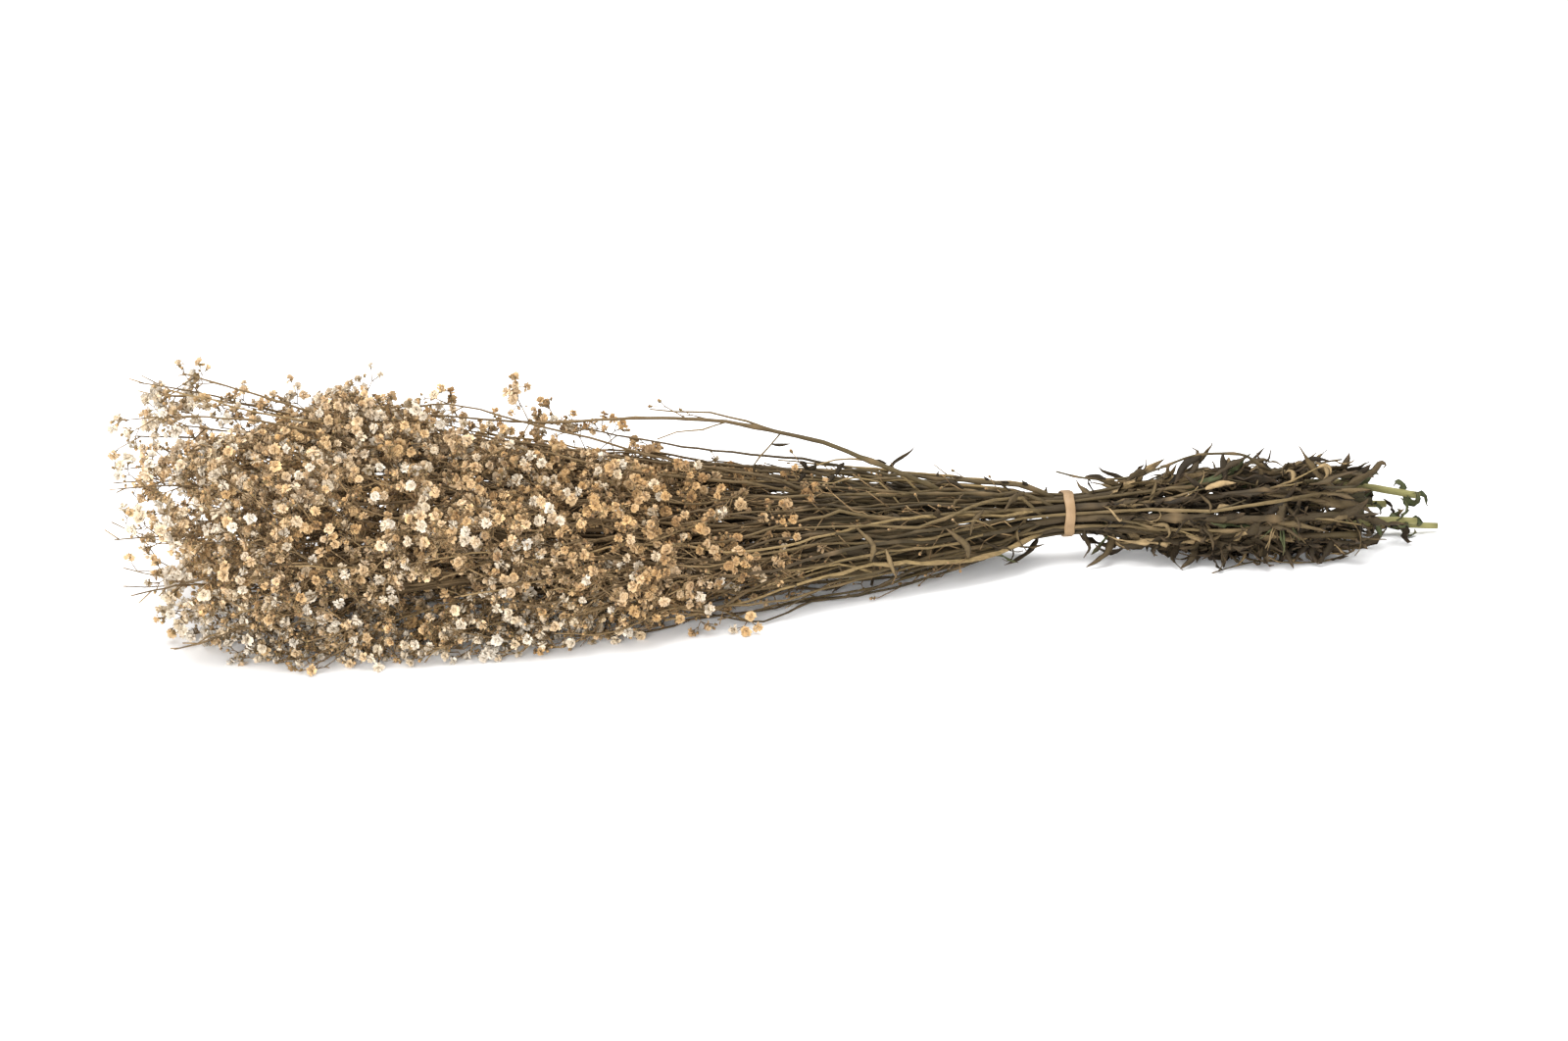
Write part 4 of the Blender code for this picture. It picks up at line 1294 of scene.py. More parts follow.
def tuft_on(growth, owner, root, centre, reach, dice, plain=False, loose=False):
    """A tuft whose first stalk leaves root, with its florets round the centre."""
    way = centre - root
    ahead = unit(way)
    first = max(0.002, np.linalg.norm(way) - 0.45 * reach)
    level = 3 if dice.random() < BIG_TUFT_CHANCE else 2
    length = reach * (0.56 if level == 3 else 0.64)
    whiteness = min(1.0, max(-0.13, whiteness_at(centre) + dice.uniform(-0.3, 0.3)))
    start = root + ahead * first
    start[2] = max(start[2], 0.0008)
    growth.twigs[owner].append((root, start, 1.5 * PEDICEL_RADIUS, 1.3 * PEDICEL_RADIUS, dice.random()))
    growth.cyme(owner, start, ahead, length, level, 1.2 * PEDICEL_RADIUS, dice, whiteness, plain, loose)


def tuft_on_end(growth, owner, line, onward, reach, dice, plain=False, loose=False):
    """A tuft on the end of a line, with its centre a little further on."""
    centre = line[-1] + unit(line[-1] - line[-2]) * onward
    tuft_on(growth, owner, line[-1], centre, reach, dice, plain, loose)


def draw_stem(wood, growth, stem):
    """The main stem, with its swollen joints and its cut end, and the branches that the solid has."""
    index = stem["index"]
    dice = random.Random(SEED * 51 + index)
    line = bent_line(stem["points"], STEM_STEP, 0.00012, dice)
    places, shares = zip(*DRAWN_SHARES)
    radii = np.array([stem_radius(index, x) for x in line[:, 0]]) * np.interp(line[:, 0], places, shares)
    radii *= 1 - (1 - DRAWN_GIRTHS[index]) * np.clip(np.abs(line[:, 0] - BAND_X) / 0.03, 0, 1)
    joints = np.array([tuple(p) for p in stem["points"][1:-1]])
    run = run_along(line)
    knots = [run[int(np.linalg.norm(line - j, axis=1).argmin())] for j in joints if abs(j[0] - BAND_X) > 0.02]
    fresh = 1.0 if index in FRESH_STEMS else 0.2
    green = fresh * np.clip((line[:, 0] - GREEN_FROM_X) / GREEN_LENGTH, 0, 1) + warmth(line)
    add_tube(wood, line, radii, STEM_SIDES, dice.uniform(0.4, 0.95), green, knots, cut=True)
    carries = line[:, 0] < CARRIES_TO_X
    growth.take_line(line[carries], radii[carries], index)
    for branch in stem["branches"]:
        path = bent_line(branch["points"], BRANCH_STEP, 0.00015, dice)
        run = run_along(path)
        radii = np.interp(run, np.linspace(0, run[-1], len(branch["radii"])), branch["radii"])
        arch = index == ARCH_STEM and branch is stem["branches"][0]
        radii *= np.linspace(0.86, 0.5, len(path)) if arch else np.linspace(0.72, 0.42, len(path))
        knots = np.arange(0.022, run[-1] - 0.005, 0.03)
        tone = 0.58 if arch else dice.uniform(0.3, 0.95)
        add_tube(wood, path, radii, BRANCH_SIDES, tone, 0.06 + warmth(path), knots)
        growth.take_line(path, radii, index)


def warmth(line):
    """How far a line's colour turns to the warm brown of the stalks, which it does among the flowers."""
    return -0.5 * np.clip((0.02 - line[:, 0]) / 0.1, 0, 1)


def draw_branch(wood, growth, owner, points, radius, dice, last_radius=TWIG_END_RADIUS):
    """A further branch of the stem, with small knots."""
    line = bent_line(points, THIN_STEP, 0.0003, dice)
    line[:, 2] = np.maximum(line[:, 2], radius + LOWEST)
    run = run_along(line)
    radii = radius + (last_radius - radius) * np.linspace(0, 1, len(line)) ** 1.3
    knots = np.arange(0.014, run[-1] - 0.004, 0.026)
    add_tube(wood, line, radii, TWIG_SIDES, dice.uniform(0.25, 1.0), 0.02 + warmth(line), knots)
    growth.take_line(line, radii, owner)
    return line


def draw_companions(woods, growth, stems):
    """A slender stem in each gap between two outer stems. It leaves its stem low down, passes through the
    band and ends among the flowers."""
    for index in range(OUTER_STEMS):
        dice = random.Random(SEED * 83 + index)
        root_x, end_x = dice.uniform(*COMPANION_ROOTS_X), dice.uniform(*COMPANION_ENDS_X)
        points = [point_on(stems[index], root_x)]
        count = round((root_x - end_x) / 0.03)
        for k in range(1, count + 1):
            x = root_x - 0.012 - (root_x - 0.012 - end_x) * k / count
            away = min(1.0, abs(x - BAND_X) / 0.08)
            angle = 2 * math.pi * (index + 1) / OUTER_STEMS + away * dice.uniform(-0.1, 0.1)
            reach = COMPANION_PLACE + away * dice.uniform(0.0, 0.16)
            points.append(place_round(x, reach, angle))
        draw_branch(woods[index], growth, index, points, COMPANION_RADIUS * dice.uniform(0.9, 1.0), dice)


def draw_side_stems(woods, growth, stems):
    """Slender stems that leave the outer ones just left of the band and run outermost in the bunch."""
    for k in range(SIDE_STEMS):
        dice = random.Random(SEED * 87 + k)
        angle = 2 * math.pi * (k + dice.uniform(0.2, 0.8)) / SIDE_STEMS
        index = int(angle / (2 * math.pi) * OUTER_STEMS)
        root_x, end_x = dice.uniform(*SIDE_STEM_ROOTS_X), dice.uniform(*SIDE_STEM_ENDS_X)
        points = [point_on(stems[index], root_x)]
        for x in np.linspace(root_x - 0.022, end_x, 3 + round((root_x - end_x) / 0.04)):
            turn = angle + dice.uniform(-0.16, 0.16)
            reach = dice.uniform(0.4, 0.75) if k % 3 == 0 else dice.uniform(0.82, 0.98)
            points.append(place_round(x, reach, turn))
        radius = SIDE_STEM_RADIUS * dice.uniform(0.7, 1.2)
        line = draw_branch(woods[index], growth, index, points, radius, dice)
        tuft_on_end(growth, index, line, 0.006, 0.009, dice)


def draw_crossing_twigs(woods, growth):
    """Thin twigs that leave the stems between the band and the flowers and lean across the others."""
    dice = random.Random(SEED * 145)
    near = growth.between(*CROSSING_X)
    for _ in range(CROSSING_TWIGS):
        root, ahead, owner = growth.at(dice.choice(near))
        side = unit(np.cross(ahead, chances(dice)))
        length = dice.uniform(*CROSSING_LENGTHS)
        knee = root + unit(ahead + side * dice.uniform(0.2, 0.6)) * (0.5 * length)
        tip = knee + unit(ahead + side * dice.uniform(-0.3, 0.3)) * (0.5 * length)
        if float(outness(tip)[0]) > 1.0 or tip[2] < 0.001:
            continue
        line = [Vector(root), Vector(knee), Vector(tip)]
        radius = dice.uniform(*CROSSING_RADII)
        drawn = draw_branch(woods[owner], growth, owner, line, radius, dice, CROSSING_TIP_RADIUS)
        if tip[0] < 0.02:
            tuft_on_end(growth, owner, drawn, 0.004, 0.006, dice)


def draw_long_branches(woods, growth, stems):
    """The long thin branches that run side by side from near the band into the flowers."""
    for stem in stems:
        index = stem["index"]
        dice = random.Random(SEED * 77 + index)
        u, v = stem_place(index)
        outer = index < OUTER_STEMS
        for _ in range(LONG_BRANCHES if outer else LONG_BRANCHES // 2):
            end_x = dice.uniform(*LONG_BRANCH_ENDS_X)
            angle = math.atan2(v, u) + dice.uniform(-0.75, 0.75) * (1 if outer else 2)
            reach = dice.uniform(0.45, 0.97) if outer else dice.uniform(0.05, 0.6)
            end = place_round(end_x, reach, angle)
            start_x = min(dice.uniform(0.075, 0.132), end_x + dice.uniform(0.16, 0.34))
            line = branch_to(stem, start_x, end, joints=5)
            for k in range(1, len(line) - 1):
                line[k] += Vector(chances(dice, LONG_BRANCH_STRAY))
            draw_branch(woods[index], growth, index, line, LONG_BRANCH_RADIUS * dice.uniform(0.75, 1.3), dice)
            tuft_on_end(growth, index, [np.array(p) for p in line[-2:]], 0.008, 0.0105, dice)


def draw_loose_branches(woods, growth, stems):
    """The branches that have their own places, some with tufts near their ends."""
    for order, (index, root_x, radius, tufted, points) in enumerate(LOOSE):
        dice = random.Random(SEED * 91 + order)
        line = [Vector(p) for p in points]
        if root_x is not None:
            line.insert(0, point_on(stems[index], root_x))
        drawn = draw_branch(woods[index], growth, index, line, radius, dice)
        run = run_along(drawn)
        for at in np.arange(max(0.03, run[-1] - tufted), run[-1] - 0.002, LOOSE_TUFT_STEP):
            k = int(np.searchsorted(run, at))
            ahead = unit(drawn[k] - drawn[k - 1])
            side = unit(np.cross(ahead, chances(dice)))
            away = unit(ahead + side * dice.uniform(0.5, 1.1))
            centre = drawn[k] + away * dice.uniform(0.006, 0.012)
            tuft_on(growth, index, drawn[k], centre, dice.uniform(0.004, 0.008), dice, loose=True)
        if tufted:
            tuft_on_end(growth, index, drawn, 0.006, 0.008, dice, loose=True)


def draw_twiglets(growth):
    """Short bare side twigs, some with a bud, on the branches between the band and the flowers."""
    dice = random.Random(SEED * 141)
    root_radius, fork_radius, tip_radius = TWIGLET_RADII
    near = growth.between(*TWIGLETS_X)
    for _ in range(TWIGLETS):
        root, ahead, owner = growth.at(dice.choice(near))
        side = unit(np.cross(ahead, chances(dice)))
        way = unit(ahead + side * dice.uniform(0.4, 1.0))
        end = root + way * dice.uniform(0.006, 0.02)
        end[2] = max(end[2], 0.001)
        growth.twigs[owner].append((root, end, root_radius, fork_radius, dice.random()))
        for sign in (1, -1):
            if dice.random() < 0.6:
                fork = unit(way + side * (sign * dice.uniform(0.4, 0.9)))
                tip = end + fork * dice.uniform(0.003, 0.009)
                tip[2] = max(tip[2], 0.0015)
                growth.twigs[owner].append((end, tip, fork_radius, tip_radius, dice.random()))
                if dice.random() < 0.75:
                    size, spin = dice.uniform(*TWIGLET_BUD_RADII), dice.uniform(0, FULL_TURN)
                    growth.florets[owner].append((tip, fork, size, spin, BUD, dice.uniform(0.05, 0.35)))


def tuft_places(dice):
    """Places for further tufts, evenly apart: in the lumps first, then all through the flower head."""
    for x, y, z, radius in LUMPS:
        for _ in range(LUMP_TRIES):
            way = np.array(chances(dice))
            at = np.array((x, y, z)) + unit(way) * (radius * dice.random() ** 0.4)
            yield at, LUMP_SPACING, False
    for _ in range(TUFT_TRIES):
        x = dice.uniform(*TUFTS_X)
        angle = dice.uniform(0, 2 * math.pi)
        reach = dice.random() ** 0.36
        at = np.array(place_round(x, reach, angle))
        outer = reach > 0.62 and (at[2] > 0.014 or at[1] < -0.05)
        low = 0.86 if at[2] < 0.04 and at[1] < -0.03 and x < -0.05 else 1.0
        yield at, (low * TUFT_SPACING if outer else INNER_SPACING) * thinned(x), not outer


def thinned(x):
    """How much further apart the tufts are at x than in the midst of the flower head."""
    return 1.0 + 1.5 * clamped((x + 0.06) / 0.07) ** 1.2 + 1.3 * clamped((-0.262 - x) / 0.03)


def draw_tufts(woods, growth, stems):
    """A tuft round each flower of the solids, then more wherever the flower head would be bare."""
    centres = []
    for stem in stems:
        dice = random.Random(SEED * 131 + stem["index"])
        for bloom in stem["flowers"]:
            root, centre = np.array(bloom["root"]), np.array(bloom["centre"])
            small = bloom["size"] < 1.5 * BUD_RADIUS
            reach = 0.006 if small else 1.3 * bloom["size"]
            tuft_on(growth, stem["index"], root, centre, reach, dice, loose=True)
            centres.append(centre)
    dice = random.Random(SEED * 151)
    wanted = []
    for at, spacing, plain in tuft_places(dice):
        at[2] = max(at[2], TUFT_LOW)
        if np.linalg.norm(np.array(centres) - at, axis=1).min() < spacing or not allowed(at):
            continue
        centres.append(at)
        wanted.append((at, plain))
        if len(centres) >= MOST_TUFTS:
            break
    for at, plain in sorted(wanted, key=lambda w: -w[0][0]):
        best = growth.carrier(at)
        if best is None:
            continue
        root, ahead, owner = growth.at(best)
        span = float(np.linalg.norm(at - root))
        knee = root + ahead * (0.45 * span)
        t = np.linspace(0, 1, 5)[:, None]
        path = (1 - t) ** 2 * root + 2 * t * (1 - t) * knee + t**2 * at
        path[1:-1] += np.array([chances(dice, 0.0006) for _ in range(3)])
        path[:, 2] = np.maximum(path[:, 2], TWIG_LOW)
        radii = np.linspace(min(0.0006, 0.85 * growth.radii[best]), TWIG_END_RADIUS, 5)
        add_tube(woods[owner], path, radii, STALK_SIDES, dice.uniform(0.2, 0.95), -0.6)
        growth.take_line(path, radii, owner)
        tuft_on_end(growth, owner, path, 0.005, dice.uniform(0.008, 0.011), dice, plain)


# Leaves


# Thin leafy twigs with their own places, as (stem, x of the root, radius, then x, y, z)
LEAFY_TWIGS = (
    (2, 0.248, 0.00075, ((0.239, -0.002, 0.043), (0.231, -0.002, 0.0485), (0.219, -0.002, 0.0503),
                         (0.204, -0.002, 0.0497), (0.189, -0.002, 0.0447), (0.176, -0.002, 0.041),
                         (0.162, -0.002, 0.04), (0.148, -0.002, 0.0418), (0.136, -0.002, 0.0455))),
    (1, 0.258, 0.0006, ((0.266, 0.0, 0.041), (0.274, 0.0, 0.0425), (0.281, 0.0, 0.0432))),
    (6, 0.287, 0.0005, ((0.284, -0.018, 0.003), (0.272, -0.026, 0.0012), (0.252, -0.029, 0.0012),
                         (0.234, -0.024, 0.0012), (0.22, -0.029, 0.0012), (0.207, -0.036, 0.001))),
)
# Leaves with their own places, as (stem, half width, tone, then x, y, z from the foot to the tip)
OWN_LEAVES = (
    (2, 0.0022, 0.25, ((0.231, -0.003, 0.0485), (0.222, -0.006, 0.046), (0.213, -0.009, 0.0405))),
    (2, 0.0021, 0.1, ((0.2195, -0.003, 0.0503), (0.219, -0.007, 0.044), (0.22, -0.009, 0.037))),
    (2, 0.0025, 0.05, ((0.2085, -0.003, 0.05), (0.199, -0.007, 0.0475), (0.1935, -0.01, 0.0385))),
    (2, 0.0015, 0.45, ((0.193, -0.003, 0.046), (0.1905, -0.006, 0.043), (0.187, -0.008, 0.038))),
    (2, 0.0025, 0.35, ((0.181, -0.003, 0.042), (0.176, -0.006, 0.0435), (0.1695, -0.008, 0.0405))),
    (2, 0.0012, 0.1, ((0.162, -0.002, 0.04), (0.156, -0.003, 0.0425), (0.15, -0.004, 0.043))),
    (1, 0.0014, 0.05, ((0.258, 0.0, 0.04), (0.265, -0.003, 0.0455), (0.274, -0.004, 0.044))),
    (1, 0.0028, 0.4, ((0.278, -0.004, 0.027), (0.288, -0.008, 0.034), (0.295, -0.01, 0.04),
                       (0.2985, -0.01, 0.044), (0.3005, -0.01, 0.0425), (0.299, -0.01, 0.041))),
    (3, 0.0034, 0.45, ((0.26, -0.016, 0.03), (0.272, -0.022, 0.029), (0.286, -0.02, 0.025),
                       (0.293, -0.02, 0.021))),
    (4, 0.003, 0.35, ((0.245, -0.02, 0.03), (0.243, -0.027, 0.024), (0.252, -0.029, 0.015))),
    (5, 0.0022, 0.4, ((0.164, -0.008, 0.012), (0.159, -0.015, 0.007), (0.148, -0.02, 0.0015))),
    (5, 0.0014, 0.25, ((0.15, -0.006, 0.013), (0.151, -0.012, 0.0085), (0.1475, -0.016, 0.005))),
    (5, 0.0024, 0.3, ((0.205, -0.014, 0.01), (0.2, -0.024, 0.005), (0.193, -0.028, 0.001))),
    (5, 0.002, 0.15, ((0.198, -0.012, 0.01), (0.191, -0.023, 0.004), (0.194, -0.03, 0.001))),
    (5, 0.0018, 0.1, ((0.126, -0.007, 0.012), (0.118, -0.013, 0.007), (0.108, -0.017, 0.004))),
    (4, 0.0026, 0.6, ((0.072, -0.018, 0.02), (0.069, -0.024, 0.016), (0.073, -0.028, 0.007))),
    (4, 0.0024, 0.55, ((0.118, -0.012, 0.025), (0.113, -0.017, 0.02), (0.118, -0.021, 0.012))),
    (3, 0.0016, 0.2, ((0.105, -0.008, 0.033), (0.113, -0.009, 0.037), (0.121, -0.009, 0.0345))),
    (2, 0.0012, 0.15, ((0.09, -0.006, 0.04), (0.083, -0.007, 0.045), (0.074, -0.007, 0.044))),
    (2, 0.0014, 0.05, ((0.122, -0.001, 0.0378), (0.1205, -0.002, 0.04), (0.119, -0.002, 0.042))),
    (2, 0.0012, 0.1, ((0.113, -0.001, 0.0392), (0.111, -0.002, 0.041), (0.108, -0.003, 0.0425))),
    (2, 0.001, 0.05, ((0.103, -0.001, 0.0412), (0.1015, -0.001, 0.0432), (0.1, -0.001, 0.0448))),
    (2, 0.001, 0.3, ((0.09, -0.002, 0.0432), (0.088, -0.002, 0.045), (0.085, -0.003, 0.0462))),
    (2, 0.0009, 0.2, ((0.078, -0.002, 0.045), (0.077, -0.002, 0.047), (0.0775, -0.002, 0.049))),
    (2, 0.0017, 0.05, ((0.012, -0.01, 0.056), (0.0105, -0.011, 0.059), (0.008, -0.011, 0.061))),
    (2, 0.0015, 0.1, ((0.012, -0.01, 0.056), (0.015, -0.012, 0.058), (0.015, -0.012, 0.061))),
    (2, 0.0015, 0.05, ((0.012, -0.01, 0.0555), (0.0085, -0.012, 0.053), (0.006, -0.013, 0.05))),
    (2, 0.0016, 0.1, ((0.025, -0.01, 0.0525), (0.02, -0.013, 0.05), (0.016, -0.014, 0.0485))),
    (2, 0.0014, 0.05, ((0.03, -0.009, 0.058), (0.027, -0.01, 0.0555), (0.0255, -0.011, 0.052))),
    (2, 0.0012, 0.15, ((0.042, -0.008, 0.057), (0.047, -0.009, 0.058), (0.051, -0.009, 0.0565))),
    (2, 0.001, 0.25, ((-0.0148, -0.0145, 0.0615), (-0.0115, -0.015, 0.06), (-0.009, -0.016, 0.061))),
    (2, 0.0008, 0.2, ((-0.0148, -0.0145, 0.0615), (-0.015, -0.015, 0.0585), (-0.014, -0.015, 0.056))),
    (2, 0.0008, 0.15, ((-0.006, -0.013, 0.071), (-0.001, -0.014, 0.0705), (0.003, -0.0145, 0.0712))),
    (5, 0.0016, 0.62, ((0.0364, -0.0462, 0.0205), (0.0372, -0.0475, 0.029), (0.0325, -0.044, 0.0345),
                       (0.0277, -0.039, 0.0385))),
    (5, 0.0019, 0.55, ((0.0875, -0.0305, 0.013), (0.085, -0.0345, 0.022), (0.08, -0.035, 0.027),
                       (0.075, -0.0345, 0.0312))),
    (5, 0.0014, 0.75, ((0.0441, -0.0435, 0.0258), (0.0465, -0.046, 0.018), (0.0499, -0.043, 0.0105))),
    (4, 0.0021, 0.4, ((0.1198, -0.006, 0.0372), (0.113, -0.0125, 0.0362), (0.1068, -0.0185, 0.0325))),
    (4, 0.0014, 0.5, ((0.096, -0.022, 0.035), (0.09, -0.027, 0.031), (0.088, -0.03, 0.025))),
    (3, 0.0016, 0.45, ((0.056, -0.02, 0.033), (0.05, -0.026, 0.03), (0.048, -0.029, 0.024))),
    (4, 0.002, 0.5, ((0.046, -0.024, 0.02), (0.04, -0.031, 0.017), (0.041, -0.035, 0.01))),
    (5, 0.0016, 0.2, ((0.09, -0.012, 0.011), (0.084, -0.018, 0.008), (0.08, -0.021, 0.004))),
    (5, 0.0012, 0.1, ((0.03, -0.024, 0.007), (0.026, -0.029, 0.004), (0.02, -0.033, 0.001))),
)


def curled_line(root, away, length, curl, droop, dice):
    """A dry leaf's midrib: it bends more and more towards its tip, and stays above the surface."""
    axis = Vector(chances(dice)).normalized()
    direction = Vector(away).normalized()
    at = Vector(root)
    found = [at.copy()]
    for k in range(LEAF_JOINTS):
        turn = curl * (0.3 + 1.4 * k / LEAF_JOINTS) / LEAF_JOINTS
        direction = Quaternion(axis, turn) @ direction
        direction.z -= droop / LEAF_JOINTS
        top, underside, front, back = outline_at(at.x)
        middle = (top + underside) / 2
        across = at.y / (front if at.y < 0 else back)
        up = (at.z - middle) / max(top - middle, 1e-6)
        out = math.hypot(across, up)
        if out > LEAF_OUT:
            direction.y -= 0.6 * at.y / 0.03 * (out - LEAF_OUT)
            direction.z -= 0.9 * (at.z - middle) / 0.02 * (out - LEAF_OUT)
        direction.normalize()
        at = at + direction * (length / LEAF_JOINTS)
        if at.z < LEAF_LOW:
            at.z = LEAF_LOW
            direction.z = abs(direction.z) * 0.2
        at.x = min(at.x, LEAF_MOST_X)
        found.append(at.copy())
    return np.array([tuple(p) for p in found])


def blade_widths(count, width):
    """Half widths along a leaf: narrow at its foot, widest a third of the way out, with a long tip."""
    t = np.linspace(0, 1, count)
    if width < 0.001:
        return width * (0.35 + 0.65 * np.sin(np.pi * t) ** 0.8) * (1 - t**6) + BLADE_EDGE
    return width * np.clip(0.3 + 2.6 * t, 0, 1) * (1 - t**2.2) ** 0.8 + BLADE_EDGE


def leaf_from(leaves, stem, x, away, length, width, curl, droop, tone, green, dice):
    """One dry leaf from the stem at x, more or less folded, twisted and crumpled."""
    root = point_on(stem, x)
    line = curled_line(root, away, length, curl, droop, dice)
    if abs(line[:, 0] - BAND_X).min() < 0.005 or (line[-1, 0] - BAND_X) * (root.x - BAND_X) < 0:
        away = Vector((math.copysign(away[0], root.x - BAND_X), away[1], away[2]))
        line = curled_line(root, away, length, 0.3 * curl, droop, dice)
    out = Vector((0, root.y, root.z - BAND_CENTRE_Z)) + Vector((0.01, 0.02, 0.03))
    side = Vector(away).cross(out).normalized()
    twist = twisted(dice, 0.7, 1.8)
    # Painted shade: the leaf is drawn darker the deeper it lies in the bunch.
    tone *= float(painted_light_factor(line[3:6], 0.15).mean())
    fold, ruffle = dice.uniform(0.0, 0.7), dice.uniform(0.35, 0.75)
    add_blade(leaves, line, width, side, tone, green, twist, fold, ruffle, dice)


def draw_leaves(leaves, stem):
    """The solid's own leaves, then many more at the joints: most lie along the stems, some droop and curl."""
    index = stem["index"]
    dice = random.Random(SEED * 171 + index)
    for blade in stem["leaves"]:
        line = smooth_line(blade["line"], 0.003)
        line[1:] += np.array([chances(dice, 0.0003) for _ in range(len(line) - 1)])
        add_blade(leaves, line, 1.05 * blade["width"], blade["side"], dice.uniform(0.1, 0.8), False,
                  twisted(dice, 0.4, 1.6), dice.uniform(0.1, 0.55), 0.3, dice)
    right = list(np.arange(BAND_X + 0.01, min(CUT_X[index] - 0.006, LEAVES_END_X), LEAF_STEP_RIGHT))
    left = list(np.arange(-0.01, BAND_X - 0.008, LEAF_STEP_LEFT))
    for x in right + left:
        dry_side = x > BAND_X
        x += dice.uniform(-0.005, 0.005)
        joint = point_on(stem, x)
        out = Vector((0, joint.y, joint.z - BAND_CENTRE_Z))
        out = out.normalized() if out.length > 1e-5 else Vector((0, 0, 1))
        for _ in range(dice.choice((1, 2, 2)) if dry_side else dice.choice((0, 1, 1))):
            stray = Vector(chances(dice, 0.3))
            along = dice.choice((-1, 1, 1)) if dry_side else dice.choice((-1, 1))
            tone = dice.random() ** 1.2
            green = dice.random() < 0.05
            style = dice.random() * (0.8 if index in (5, 6) and 0.13 < x < 0.18 else 1.0)
            flat = style < LEAF_STYLES[0][0]
            _, lengths, pulls, outward, astray, half_widths, curls, droops = next(
                row for row in LEAF_STYLES if style < row[0]
            )
            length = dice.uniform(*(lengths if dry_side or not flat else LEFT_FLAT_LENGTHS))
            away = Vector((along * dice.uniform(*pulls), 0, 0)) + outward * out + astray * stray
            width, curl, droop = dice.uniform(*half_widths), dice.uniform(*curls), dice.uniform(*droops)
            if flat:
                length *= 1 - 0.5 * clamped((x - 0.245) / 0.045)
            if not dry_side:
                width *= LEFT_WIDTH_SHARE
                tone *= LEFT_TONE_SHARE
            leaf_from(leaves, stem, x, away, length, width, curl, droop, tone, green, dice)


def draw_right_twigs(woods, leaves, stems):
    """Thin twigs between the band and the cut ends, each with a small leaf or two."""
    dice = random.Random(SEED * 175)
    for _ in range(RIGHT_TWIGS):
        stem = stems[dice.choice((0, 1, 1, 2, 2, 3, 3, 4, 4, 5, 5, 6, 7, 8))]
        x = dice.uniform(*RIGHT_TWIGS_X)
        root = point_on(stem, x)
        out = Vector((0, root.y, root.z - BAND_CENTRE_Z)).normalized()
        ahead = Vector((dice.choice((-1, 1, 1)), dice.gauss(0, 0.14), dice.gauss(0, 0.14))) + 0.22 * out
        length = min(dice.uniform(*RIGHT_TWIG_LENGTHS), 0.9 * abs(x - BAND_X) if ahead.x < 0 else 1.0)
        knee = root + ahead.normalized() * (0.5 * length)
        tip = knee + (ahead + Vector(chances(dice, 0.25))).normalized() * (0.5 * length)
        if float(outness(np.array(tip))[0]) > 1.06 or tip.z < 0.0015:
            continue
        line = bent_line([root, knee, tip], 0.008, 0.0002, dice)
        radii = np.linspace(dice.uniform(*RIGHT_TWIG_RADII), RIGHT_TWIG_TIP_RADIUS, len(line))
        add_tube(woods[stem["index"]], line, radii, TWIG_SIDES, dice.uniform(0.3, 1.0), 0.05, [0.5 * length])
        for at in (knee, tip):
            if dice.random() < TWIG_LEAF_CHANCE and at.x > BAND_X + 0.024:
                away = ahead + Vector(chances(dice, 0.5))
                blade = curled_line(at, away, dice.uniform(*TWIG_LEAF_LENGTHS), dice.uniform(1, 4), 0.2, dice)
                side = away.cross(Vector((0.2, -0.5, 0.8))).normalized()
                width, tone = dice.uniform(*TWIG_LEAF_WIDTHS), dice.uniform(0.2, 1.0)
                add_blade(leaves[stem["index"]], blade, width, side, tone, False,
                          twisted(dice, 0.5, 2), dice.uniform(0.2, 0.6), 0.4, dice)


def draw_leaf_clumps(leaves, stems):
    """Crumpled leaves under the bunch, dark partly in their own colour and partly as painted shade, green ones
    at its cut ends, and a tuft of thin curled ones.
    """
    dice = random.Random(SEED * 177)
    for _ in range(UNDER_LEAVES):
        index = dice.choice(UNDER_LEAF_STEMS)
        x = dice.uniform(*UNDER_LEAVES_X)
        along = dice.choice((-1, 1)) * dice.uniform(0.6, 2.2)
        away = Vector((along, dice.gauss(-0.5, 0.6), dice.gauss(-0.4, 0.3)))
        # Their low tones are partly the leaves' own dark brown and partly painted shade under the bunch.
        leaf_from(leaves[index], stems[index], x, away, dice.uniform(*UNDER_LEAF_LENGTHS),
                  dice.uniform(*UNDER_LEAF_WIDTHS), dice.uniform(0.5, 3.0), dice.uniform(-0.2, 0.3),
                  dice.uniform(0, 0.35), False, dice)
    for _ in range(GREEN_LEAVES):
        index = dice.choice(FRESH_STEMS)
        x = min(dice.uniform(*GREEN_LEAVES_X), CUT_X[index] - 0.004)
        away = Vector((dice.uniform(-0.4, 1.2), dice.gauss(-0.2, 0.6), dice.gauss(0, 0.6)))
        leaf_from(leaves[index], stems[index], x, away, dice.uniform(*GREEN_LEAF_LENGTHS),
                  dice.uniform(*GREEN_LEAF_WIDTHS), dice.uniform(1.5, 5.0), 0.2, dice.uniform(0, 0.4),
                  dice.random() < GREEN_CHANCE, dice)
    for k in range(THIN_LEAVES):
        angle = math.pi * (1.05 + 0.9 * k / (THIN_LEAVES - 1))
        away = Vector((math.cos(angle), -0.5, 0.7 * math.sin(angle) + 0.35))
        leaf_from(leaves[THIN_LEAVES_STEM], stems[THIN_LEAVES_STEM], THIN_LEAVES_X, away,
                  dice.uniform(*THIN_LEAF_LENGTHS), dice.uniform(*THIN_LEAF_WIDTHS), dice.uniform(0.8, 2.5),
                  1.6, dice.uniform(0.5, 1.0), dice.random() < 0.3, dice)


